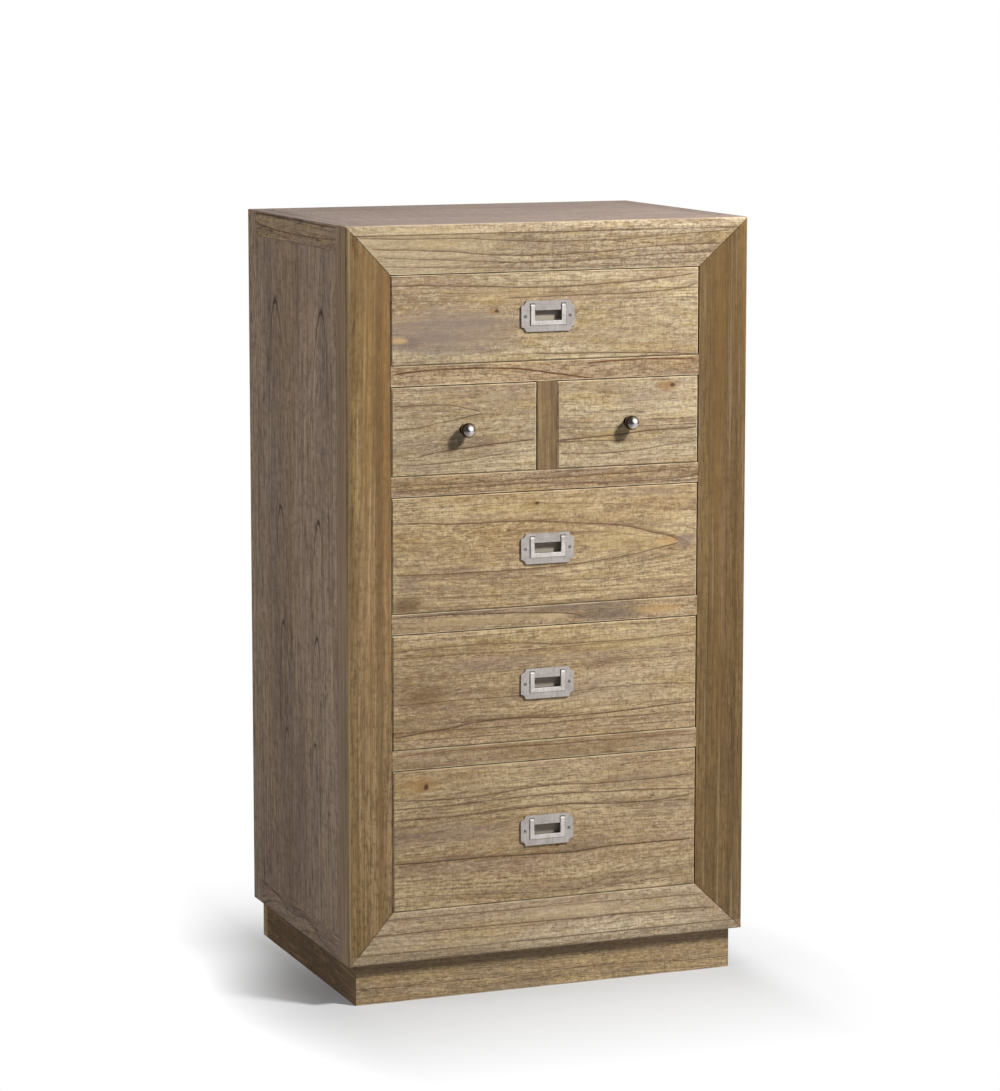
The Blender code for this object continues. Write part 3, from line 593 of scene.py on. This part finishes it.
def timber(name, way, seed, tones, heart, ring=9.0, run=(1.0, 1.0), mirror=None, marks=(), edges=(),
           arches=(), faces=(), mitred=False, clouds=1.0, coarse=1.0, rings=1.0):
    """One board's finish. tones are its pale, mid, dark, line and stain colours. heart is its heart
    line and ring the width of a year, in millimetres. clouds, coarse and rings set how strong the
    stain clouds, the short grain and the ring lines are, and run how long and wide the grain's marks
    are. faces are the board's other sides, each with a tone of its own, and on the plinth's front a
    band of painted shadow under the frame's overhang: (axis, where it starts, which way it looks,
    share, tone)."""
    finish = Finish(name)
    board = Board(finish, way, seed, mirror, run)
    grain = Grain(board, heart, ring)
    pale, mid, dark, line_tone, stain = tones
    washes = [mark for mark in marks if mark[0] == "wash"]
    others = [mark for mark in marks if mark[0] != "wash"]
    colour = finish.blend(grain.drift.ramp(0.38, 0.62), mid, pale)
    for mark in washes:
        colour = finish.lay(colour, mark_coats(board, mark, line_tone))
    colour = finish.lay(colour, grain.coats(tones, clouds, coarse, rings))
    for level, width, strength in arches:
        colour = finish.lay(colour, [(grain.arch(level * MM, width * MM), strength, line_tone)])
    for mark in others:
        colour = finish.lay(colour, mark_coats(board, mark, line_tone))
    if edges:
        colour = finish.lay(colour, [(worn_edges(board, edges), WORN_SHARE, RUBBED)])
    for spot, place, sign, share, tone in faces:
        streaks = [(grain.streak.ramp(0.42, 0.62), 0.55, stain), (grain.fibre.ramp(0.46, 0.66), 0.45, dark)]
        there = ((getattr(board, spot) - place) * sign).ramp(0.0, MM)
        colour = finish.lay(colour, [(there, share, finish.lay(tone, streaks))])
    if mitred:
        colour = finish.lay(colour, [(joint_and_shade_mask(board, way), JOINT_AND_SHADE_SHARE, line_tone)])
    height = (grain.fibre * 0.25 + grain.streak * 0.25 + grain.fleck * 0.2
              - grain.pores * 0.6 - grain.lines * 0.4)
    return finish.close({
        "Base Color": colour, "Roughness": grain.fleck * 0.22 + grain.pores * 0.15 + 0.42,
        "Normal": finish.node("ShaderNodeBump", None, {"Height": height, **RELIEF}),
        "Specular IOR Level": 0.35})


def dress(name, finish):
    """Gives a solid its one finish."""
    BOARDS[name].data.materials.clear()
    BOARDS[name].data.materials.append(finish)


print("worn edges hide", WORN_SHARE, "of the tone below")

# %% [markdown]
# ## Which board is which
# The drawer fronts, the lying boards of the frame and the top are pale, the uprights of the frame
# darker and more orange, and the divider and the plinth's sides darkest. The plinth's sides are darker
# by painted shade, the divider partly by its own grain and partly by painted shade. The sides took
# more grey stain. The top's grey is partly its own stain and partly painted sheen, the white room
# that it mirrors at a grazing angle. Each kind of board has five tones: pale wood, middle, dark wood,
# ring line, stain.

# %% Tones of the boards
TONES = {
    "front": [(211, 194, 160), (173, 153, 120), (125, 101, 72), (84, 64, 46), (136, 117, 102)],
    "low_front": [(218, 195, 154), (181, 154, 113), (126, 98, 66), (84, 62, 43), (138, 116, 95)],
    "rail": [(200, 176, 142), (166, 141, 106), (118, 93, 65), (84, 60, 42), (126, 109, 94)],
    "frame_rail": [(212, 193, 162), (176, 156, 125), (128, 106, 79), (84, 64, 46), (138, 121, 104)],
    "stile": [(146, 119, 77), (122, 97, 60), (93, 71, 43), (67, 49, 30), (104, 87, 64)],
    "dark_stile": [(140, 114, 75), (119, 93, 59), (89, 68, 41), (65, 47, 29), (99, 81, 58)],
    # The divider's tones are darker partly by its own grain and partly by painted shade.
    "divider": [(128, 104, 78), (111, 88, 64), (92, 72, 48), (66, 50, 34), (108, 92, 78)],
    "side": [(176, 153, 134), (151, 128, 111), (112, 91, 76), (70, 54, 42), (129, 115, 107)],
    # The top's grey is partly painted sheen, the white room seen at a grazing angle.
    "top": [(206, 187, 176), (185, 167, 157), (148, 129, 118), (104, 87, 78), (163, 151, 145)],
    "post": [(184, 161, 141), (162, 139, 121), (122, 101, 85), (78, 61, 48), (139, 124, 115)],
    "plinth": [(218, 190, 146), (184, 156, 114), (136, 113, 78), (90, 70, 48), (144, 126, 104)],
    # The plinth's sides take tones darkened with painted shade.
    "plinth_side": [(122, 98, 71), (106, 83, 60), (82, 63, 44), (58, 43, 31), (92, 76, 60)],
    "inner": [(206, 182, 142), (190, 163, 122), (160, 130, 92), (128, 98, 64), (176, 152, 120)],
}
TONES = {kind: [tint(*tone) for tone in tones] for kind, tones in TONES.items()}
print("kinds of board:", ", ".join(TONES))

# %% [markdown]
# ## Drawer fronts
# Six boards with the grain lying flat. The fourth has a long flame with its point on the right: its
# heart line rises to the left, so the rings close round a tip. The small left drawer has a shorter one.
# The others are cut further from the heart and show nearly straight rings. Places are millimetres
# along the board and up from the floor.

# %% Marks of the drawer fronts
# The washes on the top, small left, lower and bottom fronts darken the left ends and pale the right ends of
# the lower two: partly the boards' own tone, partly painted light, as the lamp's light falls off from right
# to left.
FRONTS = {
    "top_drawer": dict(seed=3.1, heart=(700, 0.01, 120, 0.05), ring=11, marks=[
        # This wash is partly painted shade, darkening the end away from the lamp.
        ("wash", (-150, 970), (110, 60), 0.5, tint(146, 124, 92)),
        ("blot", (-150, 940), (130, 36), 0.75, tint(140, 122, 107)),
        ("blot", (-60, 985), (80, 14), 0.25, OCHRE),
        ("blot", (-150, 912), (90, 8), 0.45, tint(120, 106, 99)),
        ("blot", (-110, 950), (100, 7), 0.4, tint(124, 108, 100)),
        ("blot", (-165, 932), (50, 9), 0.6, MAUVE), ("blot", (-208, 924), (32, 12), 0.65, tint(118, 99, 92)),
        ("blot", (-219, 928), (15, 5.5), 0.85, tint(192, 160, 116)),
        ("vein", [(-228, 1004), (-120, 1001), (-10, 996), (90, 999), (228, 1009)], (1.2, 7), 0.8),
        ("vein", [(-60, 982), (60, 984), (150, 985), (228, 995)], (1.1, 6), 0.75),
        ("vein", [(-20, 905), (90, 901), (160, 899), (228, 896)], (1.1, 6), 0.75),
        ("knot", (-75, 965), (5.5, 4), 0.9, KNOT)]),
    "small_drawer_left": dict(seed=11.7, heart=(560, 0.02, 110, 0.05), ring=10, marks=[
        ("vein", [(-228, 838), (-190, 838), (-150, 837), (-120, 831), (-98, 825)], (1, 5), 0.7),
        ("vein", [(-228, 806), (-190, 808), (-165, 813), (-130, 818), (-98, 824)], (1, -5), 0.7),
        ("vein", [(-205, 828), (-170, 829), (-140, 827), (-125, 824)], (0.7, 3), 0.4),
        # This wash is partly painted shade, darkening the end away from the lamp.
        ("wash", (-150, 800), (110, 70), 0.5, tint(150, 128, 94)),
        ("blot", (-60, 845), (50, 14), 0.25, MAUVE), ("blot", (-185, 752), (40, 8), 0.3, MAUVE),
        ("vein", [(-190, 768), (-150, 774), (-100, 780), (-20, 784)], (1.2, 6), 0.9),
        ("vein", [(-225, 756), (-160, 757), (-90, 764), (-20, 768)], (1, 5), 0.6),
        ("knot", (-28, 849), (2.6, 2), 0.5, KNOT)]),
    "small_drawer_right": dict(seed=11.7, heart=(640, 0.03, 90, 0.05), ring=10, marks=[
        ("blot", (150, 838), (70, 16), 0.3, MAUVE), ("blot", (182, 852), (20, 10), 0.5, tint(156, 120, 70)),
        ("vein", [(17, 782), (80, 784), (150, 789), (228, 791)], (1.2, 6), 0.95),
        ("vein", [(17, 762), (90, 760), (160, 765), (228, 772)], (1, 5), 0.7),
        ("knot", (191, 852), (5.5, 4), 0.85, KNOT)]),
    "upper_drawer": dict(seed=23.3, heart=(633.5, -0.018, 17.7, 0.1), ring=9.5, marks=[
        ("blot", (110, 640), (90, 18), 0.3, OCHRE), ("blot", (184, 631), (20, 7), 0.5, ORANGE),
        ("blot", (214, 631), (18, 12), 0.6, MAUVE),
        ("blot", (-205, 588), (24, 16), 0.4, SMOKE), ("blot", (-206, 562), (26, 14), 0.7, tint(96, 72, 46)),
        ("blot", (-30, 688), (90, 10), 0.3, OCHRE), ("blot", (150, 702), (80, 8), 0.3, MAUVE),
        ("vein", [(-228, 676), (-90, 671), (-20, 669), (60, 663), (110, 656), (160, 645), (186, 638),
                  (204, 629)], (1.2, 7), 0.8, tint(98, 72, 52)),
        ("vein", [(-228, 605), (-120, 602), (0, 604), (80, 608), (130, 614), (170, 621), (204, 628)],
         (1.2, -7), 0.8, tint(98, 72, 52)),
        ("vein", [(-60, 652), (60, 650), (130, 642), (186, 632)], (0.7, 4), 0.4),
        ("vein", [(-228, 572), (-120, 568), (60, 566), (228, 562)], (0.8, 5), 0.5),
        ("vein", [(-90, 584), (60, 582), (150, 586), (228, 594)], (0.8, 5), 0.4),
        ("knot", (-15, 695), (5, 3.2), 0.9, KNOT)]),
    "lower_drawer": dict(seed=31.9, heart=(150, 0.02, 160, 0.04), ring=12, marks=[
        # These washes are partly painted light: darker at the left end, paler at the right.
        ("wash", (-150, 430), (150, 90), 0.6, tint(138, 115, 82)),
        ("wash", (160, 435), (140, 110), 0.5, tint(214, 194, 158)),
        ("blot", (-186, 431), (44, 15), 0.55, tint(110, 82, 48)), ("blot", (120, 490), (120, 12), 0.3, OCHRE),
        ("blot", (-60, 470), (130, 12), 0.3, MAUVE), ("blot", (90, 420), (90, 16), 0.25, MAUVE),
        ("vein", [(-228, 376), (-150, 384), (-64, 392), (36, 388), (130, 391), (228, 395)],
         (1.2, 6), 0.9),
        ("vein", [(-150, 391), (-64, 393), (60, 391)], (1, 5), 0.6),
        ("vein", [(-228, 496), (-90, 500), (60, 492), (228, 498)], (1, 5), 0.6)]),
    "bottom_drawer": dict(seed=41.3, heart=(-60, 0.01, 150, 0.03), ring=13, marks=[
        # These washes are partly painted light: darker at the left end, paler at the right.
        ("wash", (-140, 230), (160, 110), 0.45, tint(142, 119, 86)),
        ("wash", (150, 240), (160, 110), 0.4, tint(212, 190, 156)),
        ("blot", (-150, 235), (110, 20), 0.3, MAUVE),
        ("blot", (-190, 306), (34, 12), 0.5, tint(168, 130, 78)),
        ("blot", (60, 200), (60, 10), 0.3, SMOKE), ("blot", (150, 290), (90, 12), 0.25, MAUVE),
        ("vein", [(-228, 287), (-120, 284), (0, 291), (110, 288), (228, 292)], (1.1, 6), 0.75),
        ("vein", [(-228, 258), (-100, 259), (20, 262), (130, 257), (228, 262)], (1.1, 6), 0.75),
        ("vein", [(-228, 196), (-100, 196), (20, 193), (110, 196), (228, 195)], (1.3, 7), 0.95),
        ("knot", (-181, 304), (4.5, 6), 0.9, KNOT), ("knot", (17, 204), (4, 2.6), 0.8, KNOT)]),
}
LOW_FRONTS = 0.6
for drawer, spec in FRONTS.items():
    low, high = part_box(drawer + "_front")
    edges = [("along", low.x), ("along", high.x), ("plain", low.z), ("plain", high.z)]
    tones = TONES["low_front" if low.z < LOW_FRONTS else "front"]
    dress(drawer + "_front", timber(drawer + "_timber", "rail", tones=tones, edges=edges, **spec))
print("drawer fronts finished:", len(FRONTS))

# %% [markdown]
# ## The frame, the rails and the carcass
# The frame is mitred like a picture's, so the grain turns the corner with the boards. The uprights
# are darker and more orange than the lying boards, and their side faces took more stain. The side panels
# are book-matched: two sheets cut one after the other and opened like a book, so the arches on the
# left mirror those on the right. Folding the across distance at the middle line does just that.

# %% Marks of the frame and the rails
# Boards seen from two sides have faces: the top, the chest's sides, and the flat foot of a stile.
# The plinth's front gets a band of painted shadow under the frame's overhang, laid as a face.
TOP_SKIN, SIDE_SKIN, LEDGE = 1.0862, 0.2992, 0.044
# The first tone is the top's middle tone, its grey partly painted sheen.
TOP_FACE, SIDE_FACE = tint(185, 167, 157), tint(166, 142, 120)
# The second tone is painted shadow: the band under the frame's overhang on the plinth's front.
FOOT_BAND, PAINTED_LEDGE_SHADOW = tint(160, 138, 106), tint(92, 68, 54)
TOP_LYING = (("plain", TOP_SKIN, 1, 0.9, TOP_FACE),)
TOP_UPRIGHT = (("along", TOP_SKIN, 1, 0.9, TOP_FACE),)
STILE_FOOT = (("along", FRAME_FOOT + BAND, -1, 0.7, FOOT_BAND),)
STILE_SIDES = {sign: (("plain", sign * SIDE_SKIN, sign, 0.9, SIDE_FACE),) for sign in (-1, 1)}
FRAME_RAIL = dict(kind="frame_rail", way="rail", mitred=True)
STILE = dict(way="stile", mitred=True, clouds=0.5, run=(3, 1.1))
CROSS_RAIL = dict(kind="rail", way="rail", coarse=1.3)
PLINTH = dict(heart=(300, 0, 60, 0.02), ring=12)
CARCASS = {
    "frame_rail_top": dict(FRAME_RAIL, coarse=1.3, seed=51, heart=(1400, 0, 60, 0.02), ring=11,
        faces=TOP_LYING, marks=[
        ("blot", (-200, 1050), (160, 60), 0.40, tint(212, 190, 152)),
        ("vein", [(-262, 1056), (-150, 1049), (0, 1041), (140, 1048), (262, 1052)], (1.1, 6), 0.7),
        ("vein", [(-250, 1044), (-120, 1036), (20, 1031), (150, 1037), (252, 1041)], (1.1, 6), 0.6),
        ("vein", [(-280, 1070), (-120, 1066), (40, 1060), (160, 1064), (282, 1070)], (1.1, 6), 0.6),
        ("vein", [(-240, 1031), (-100, 1026), (60, 1023), (240, 1028)], (1, 6), 0.5)]),
    "frame_rail_bottom": dict(FRAME_RAIL, clouds=0.7, seed=57, heart=(-300, 0, 60, 0.02), ring=12,
        marks=[
        ("vein", [(-240, 119.5), (-80, 118), (80, 116), (240, 113)], (0.9, 4), 0.75, tint(100, 73, 50)),
        ("vein", [(-262, 98.5), (-120, 98), (0, 97), (130, 96), (255, 94)], (1, 4), 0.85,
         tint(96, 70, 48)),
        ("blot", (40, 108), (90, 12), 0.35, tint(206, 184, 150))]),
    "frame_stile_left": dict(STILE, kind="stile", coarse=1.1, rings=0.7, seed=63,
        heart=(-900, 0.003, 60, 0.02), faces=STILE_FOOT + STILE_SIDES[-1] + TOP_UPRIGHT, marks=[
        ("wash", (300, -262), (340, 60), 0.8, tint(166, 136, 92)),
        ("wash", (830, -262), (240, 60), 0.5, tint(118, 92, 58)),
        ("blot", (750, -268), (500, 14), 0.35, tint(146, 114, 68)),
        ("blot", (640, -249), (900, 8), 0.6, tint(102, 75, 43)),
        ("blot", (820, -238), (500, 7), 0.35, tint(146, 107, 60)),
        ("blot", (1010, -262), (60, 60), 0.4, tint(112, 88, 60)),
        ("blot", (900, -296), (400, 3.5), 0.45, tint(112, 98, 80)),
        ("blot", (300, -298), (420, 2), 0.5, tint(176, 150, 112))]),
    "frame_stile_right": dict(STILE, kind="dark_stile", coarse=0.8, rings=0.5, seed=71,
        heart=(900, 0.003, 60, 0.02), faces=STILE_FOOT + STILE_SIDES[1] + TOP_UPRIGHT, marks=[
        ("blot", (940, 265), (300, 60), 0.45, tint(96, 74, 46)),
        ("blot", (700, 262), (600, 9), 0.35, tint(128, 96, 52)),
        ("vein", [(140, 247), (420, 246), (700, 248), (1020, 246)], (1, 6), 0.35)]),
    "top_drawer_rail": dict(CROSS_RAIL, seed=77, heart=(860, 0, 40, 0.05), marks=[
        ("vein", [(-228, 882), (-148, 888), (-64, 885), (20, 874), (75, 866)], (1.4, 3), 1,
         tint(86, 50, 28)),
        ("vein", [(60, 888), (140, 890), (228, 889)], (1.3, 3), 0.9, tint(92, 52, 30)),
        ("knot", (-120, 870), (3, 2), 0.7, KNOT)]),
    "small_drawer_rail": dict(CROSS_RAIL, seed=83, heart=(1200, 0, 40, 0.02), ring=7, marks=[
        ("vein", [(-228, 733), (-100, 728), (60, 730), (228, 733)], (1, 5), 0.7),
        ("vein", [(-228, 720), (-60, 723), (100, 719), (228, 721)], (1, 5), 0.7)]),
    "upper_drawer_rail": dict(CROSS_RAIL, clouds=0.5, seed=89, heart=(200, 0, 60, 0.02), marks=[
        ("blot", (-110, 534), (130, 8), 0.5, tint(190, 168, 126)),
        ("blot", (105, 531), (70, 12), 0.6, tint(104, 92, 84)),
        ("blot", (10, 533), (34, 6), 0.6, tint(206, 180, 140)), ("blot", (170, 533), (50, 8), 0.5, ORANGE),
        ("blot", (-110, 549), (150, 5), 0.55, tint(120, 106, 96)),
        ("blot", (60, 544), (110, 7), 0.55, tint(118, 104, 94)),
        ("vein", [(-228, 545), (-90, 543), (-18, 539), (40, 534), (56, 525)], (1, 9), 0.85,
         tint(78, 62, 52))]),
    "lower_drawer_rail": dict(kind="rail", way="rail", coarse=0.9, clouds=0.5, seed=97,
        heart=(-100, 0, 60, 0.02), ring=10, marks=[
        ("vein", [(-228, 349), (-60, 352), (60, 350), (228, 353)], (1.3, 7), 0.5, tint(112, 66, 38))]),
    "centre_divider": dict(kind="divider", way="stile", seed=101, heart=(400, 0, 60, 0.02),
        clouds=0.4, coarse=0.6, run=(2, 1)),
}
print("frame boards and rails marked:", len(CARCASS))

# %% Marks of the sides, the top and the plinth
BOOK_LINE = -0.004
ARCHES = [(76, 0.45, 0.8), (53, 0.42, 0.8), (40, 0.40, 0.8), (28, 0.36, 0.75)]
LOW_RAIL_VEIN = [(-150, 62), (-90, 70), (-30, 84), (40, 78), (110, 88), (185, 94)]
SIDE_SEEDS = {"left": (107, 113, 131, 157), "right": (109, 127, 137, 163)}
for side, (post_seed, high_seed, low_seed, plinth_seed) in SIDE_SEEDS.items():
    CARCASS |= {
        "back_post_" + side: dict(kind="post", way="side", seed=post_seed, ring=10, run=(3, 1.8),
            heart=(-800, 0, 60, 0.02), faces=TOP_UPRIGHT),
        "side_rail_top_" + side: dict(kind="side", way="side_rail", seed=high_seed,
            heart=(1200, 0, 60, 0.05), faces=TOP_LYING),
        "side_rail_bottom_" + side: dict(kind="side", way="side_rail", seed=low_seed,
            heart=(50, 0, 40, 0.1), marks=[("vein", LOW_RAIL_VEIN, (2.2, 9), 0.45)]),
        "side_panel_" + side: dict(kind="side", way="side", seed=173, run=(3, 2.1), coarse=0.9,
            heart=(32.2, 0.0683, 0.9, 0.078), rings=0.35, clouds=0.5, mirror=BOOK_LINE, arches=ARCHES),
        # The plinth's sides take tones darkened with painted shade.
        "plinth_" + side: dict(PLINTH, kind="plinth_side", way="side_rail", seed=plinth_seed,
            clouds=0.5, coarse=0.5, rings=0.5),
    }
CARCASS["side_rail_top_left"] |= dict(run=(2, 1.6), marks=[
    ("vein", [(-172, 1084.3), (0, 1084.3), (190, 1084.3)], (1.7, 4), 0.7),
    ("vein", [(-172, 1068), (0, 1064), (190, 1070)], (1.4, 5), 0.5)])
CARCASS |= {
    "top_panel": dict(kind="top", way="top", seed=139, heart=(-150, 0.02, 70, 0.06), ring=11,
        clouds=0.5),
    "plinth_front": dict(PLINTH, kind="plinth", way="rail", seed=149, coarse=1.2,
        # A band of painted shadow under the frame's overhang, from 44 mm up to the plinth's top.
        faces=[("plain", LEDGE, 1, 0.6, PAINTED_LEDGE_SHADOW)], marks=[
        # This line 1 mm up is painted shade along the plinth's foot, where it meets the floor.
        ("vein", [(-275, 1), (0, 1), (275, 1)], (1.6, 3), 0.5, tint(116, 102, 90))]),
    "plinth_back": dict(PLINTH, kind="plinth", way="rail", seed=151),
    "back_panel": dict(kind="inner", way="stile", seed=167, heart=(30, 0.05, 60, 0.08), ring=14),
}
for board, spec in CARCASS.items():
    if spec["way"] == "rail":
        low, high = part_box(board)
        spec["edges"] = [("plain", low.z), ("plain", high.z)]
    dress(board, timber(board + "_timber", tones=TONES[spec.pop("kind")], **spec))
print("carcass boards finished:", len(CARCASS))

# %% [markdown]
# ## Wood that stays inside
# Drawer boxes, runners and bottoms are plain pale wood with a thin coat of lacquer. They show only
# when a drawer is out, and then from close by, so they get a real grain, but no marks of their own.

# %% Inner boards
INNER_WAYS = {"_box": "side_rail", "_bottom": "top", "runner": "side_rail", "bottom_panel": "top"}
INNER_HEART, INNER_RING = (900, 0, 60, 0.02), 14
plain_woods = {
    way: timber("inner_timber_" + way, way, seed, TONES["inner"], INNER_HEART, INNER_RING, clouds=0.4)
    for way, seed in (("side_rail", 181), ("top", 191))
}
for name in BOARDS:
    ways = [way for part, way in INNER_WAYS.items() if part in name and name not in CARCASS]
    if ways:
        dress(name, plain_woods[ways[0]])
print("inner finishes:", ", ".join(plain_woods))

# %% [markdown]
# ## Nickel
# The pulls are nickel, brushed along their length and faintly across it, so the shine is drawn out
# into fine lines and the metal looks satin. The bails are a lighter nickel than the plates, a painted
# highlight, as metal here mirrors neither lamp. The knobs are the same metal polished, and mirror the room.

# %% Brushed and polished nickel
CUP_DEEP, CUP_TONE = -0.1991, tint(164, 153, 139)
# These paint a knob dark behind: a painted reflection of the dark room, and painted shade round its neck and
# foot.
KNOB_DARK_FROM, KNOB_PAINTED_DARK = -0.2186, tint(56, 44, 37)
SMUDGE_TONE, BRUSH_TONE, CROSS_TONE = tint(150, 140, 130), tint(112, 104, 98), tint(128, 118, 112)


def nickel(name, tone, dull, brushed, cup=0.0, painted_rear=0.0):
    """A warm grey metal with brush lines and faint smudges; a pull's cup is duller than its face,
    and a knob is painted dark behind: a painted reflection of the dark room, and painted shade
    round its neck and foot."""
    finish = Finish(name)
    metal = Board(finish, "rail", 7.7)
    brush = metal.cloud(60.0, 2600.0, 1.0, vector=metal.vector(metal.plain))
    smudge = metal.cloud(55.0, 55.0, 4.0, 3.0)
    cross = metal.cloud(900.0, 90.0, 6.0)
    inside = (metal.deep - CUP_DEEP).ramp(0.0, 1.2 * MM) * cup
    colour = finish.lay(tone, [
        (smudge.ramp(0.35, 0.75), 0.35, SMUDGE_TONE),
        (brush.ramp(0.45, 0.75), 0.40 * brushed, BRUSH_TONE),
        (cross.ramp(0.45, 0.70), 0.40 * brushed, CROSS_TONE),
        (inside, 1.0, CUP_TONE),
        # Painted reflection and painted shade: the knob's rear turns dark.
        ((metal.deep - KNOB_DARK_FROM).ramp(0.0, 2.6 * MM), painted_rear, KNOB_PAINTED_DARK)])
    relief = {"Height": brush, "Strength": 0.3 * brushed + 0.02, "Distance": 0.0001}
    return finish.close({
        "Base Color": colour, "Metallic": 1.0 - inside,
        "Roughness": brush * (0.16 * brushed) + smudge * 0.08 + inside * 0.2 + dull,
        "Normal": finish.node("ShaderNodeBump", None, relief)})


METALS = {
    "_pull_plate": nickel("brushed_nickel", tint(190, 182, 177), 0.30, 1.0, cup=1.0),
    # The bail's lighter tone is a painted highlight.
    "_pull_bail": nickel("bail_nickel", tint(219, 212, 207), 0.24, 1.0),
    # The knob's rear is painted dark: a painted reflection and painted shade.
    "_knob": nickel("polished_nickel", tint(206, 200, 195), 0.07, 0.0, painted_rear=1.0),
}
fittings = [(name, metal) for name in BOARDS for end, metal in METALS.items() if name.endswith(end)]
for name, metal in fittings:
    dress(name, metal)
print("nickel parts:", len(fittings))

# %% [markdown]
# ## Screws
# Each plate is held by two small cross-head screws, one at either end. A screw head is turned, so its
# side view is spun round the middle line, and the cross is cut out of it with two tapered wedges, as
# the punch that makes a real one does. One head is made and eight copies share it.

# %% Turned forms, wedges and cuts
CROSS_LEVELS = ((-0.16, 0.45), (1.0, 1.25))


def spin_profile(profile, steps):
    """A turned form in millimetres: (radius, height) points spun round Z."""
    form = bmesh.new()
    points = [form.verts.new((radius, 0.0, height)) for radius, height in profile]
    lines = [form.edges.new(pair) for pair in zip(points, points[1:])]
    bmesh.ops.spin(form, geom=points + lines, cent=(0, 0, 0), axis=(0, 0, 1), angle=math.tau,
                   steps=steps, use_merge=True)
    bmesh.ops.remove_doubles(form, verts=form.verts, dist=0.001)
    bmesh.ops.recalc_face_normals(form, faces=form.faces)
    return form


def wedge(reach, half):
    """A tapered bar that cuts one arm of the cross; wide at the top and narrow below."""
    form = bmesh.new()
    corners = []
    for height, share in CROSS_LEVELS:
        for x, y in ((-1, -1), (1, -1), (1, 1), (-1, 1)):
            corners.append(form.verts.new((x * reach * share, y * half * (0.5 + share / 2), height)))
    bmesh.ops.convex_hull(form, input=corners)
    return form


def thing(name, form):
    """A mesh object made from a bmesh, linked into the scene."""
    mesh = bpy.data.meshes.new(name)
    form.to_mesh(mesh)
    form.free()
    item = bpy.data.objects.new(name, mesh)
    bpy.context.scene.collection.objects.link(item)
    return item


def cut_away(item, tools):
    """Cuts each tool out of the item for good, and clears the tools away."""
    for tool in tools:
        cut = item.modifiers.new("cut", "BOOLEAN")
        cut.operation, cut.solver, cut.object = "DIFFERENCE", "EXACT", tool
    now = bpy.context.evaluated_depsgraph_get()
    shaped = bpy.data.meshes.new_from_object(item.evaluated_get(now))
    item.modifiers.clear()
    item.data = shaped
    for tool in tools:
        bpy.data.objects.remove(tool)
    return item


print("cross cut from", CROSS_LEVELS[0][0], "to", CROSS_LEVELS[1][0], "mm")

# %% One screw head
HEAD_PROFILE = [(0.0, 0.62), (0.9, 0.58), (1.7, 0.46), (2.3, 0.26), (2.65, 0.02), (2.7, -0.25), (0.0, -0.25)]
HEAD_STEPS, HEAD_CREASE = 40, 35
CROSS_REACH, CROSS_HALF = 1.65, 0.42


def make_head():
    """The screw head in millimetres, its cross cut, smooth on the dome and sharp at the cut."""
    cutters = [thing("cross_" + way, wedge(*span)) for way, span in (
        ("long", (CROSS_REACH, CROSS_HALF)), ("wide", (CROSS_HALF, CROSS_REACH)))]
    head = cut_away(thing("screw_pattern", spin_profile(HEAD_PROFILE, HEAD_STEPS)), cutters)
    head.data.shade_smooth()
    head.data.set_sharp_from_angle(angle=math.radians(HEAD_CREASE))
    return head


pattern = make_head()
pattern.data.materials.append(nickel("screw_nickel", tint(120, 112, 106), 0.42, 0.3))
print("screw head:", len(pattern.data.polygons), "faces")

# %% Eight screws in the plates
SCREW_SIDE, SCREW_SCALE = 0.0334, 0.86 * MM
PLATE_FACE = -0.20035
turns = random.Random(4)
screws = []
for name in BOARDS:
    if name.endswith("_pull_plate"):
        drawer = name.removesuffix("_pull_plate")
        low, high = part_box(name)
        for side, word in ((-SCREW_SIDE, "left"), (SCREW_SIDE, "right")):
            screw = bpy.data.objects.new(f"{drawer}_screw_{word}", pattern.data)
            bpy.context.scene.collection.objects.link(screw)
            screw.location = (side, PLATE_FACE, (low.z + high.z) / 2)
            screw.rotation_euler = (math.pi / 2, turns.uniform(0.0, math.pi / 2), 0.0)
            screw.scale = (SCREW_SCALE, SCREW_SCALE, MM)
            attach(screw, drawer)
            screws.append(screw)
bpy.data.objects.remove(pattern)
print("screws set:", len(screws))

# %% [markdown]
# ## Softened edges
# Sanding takes the knife edge off every board, and that thin rounding is what catches the light
# along a drawer. The solids come with their faces split apart, so a weld closes them up first, and
# a narrow bevel then rounds the edges of the fronts, the drawer rails, the divider and the plinth.
# Both are modifiers, which leave the solids as they are.

# %% Weld and bevel
EASE, EASE_STEPS, WELD_REACH, EASE_ANGLE = 0.0004, 2, 1e-5, 40


def ease_edges(node, width):
    """A narrow rounding along every sharp edge of a board."""
    weld = node.modifiers.new("weld", "WELD")
    weld.merge_threshold = WELD_REACH
    bevel = node.modifiers.new("ease", "BEVEL")
    bevel.width, bevel.segments, bevel.limit_method = width, EASE_STEPS, "ANGLE"
    bevel.angle_limit = math.radians(EASE_ANGLE)
    bevel.harden_normals = True


EASED_ENDS = ("_front", "drawer_rail", "divider")
eased = [name for name in BOARDS if name.endswith(EASED_ENDS) or "plinth" in name]
for name in eased:
    ease_edges(BOARDS[name], EASE)
print("boards eased:", len(eased))
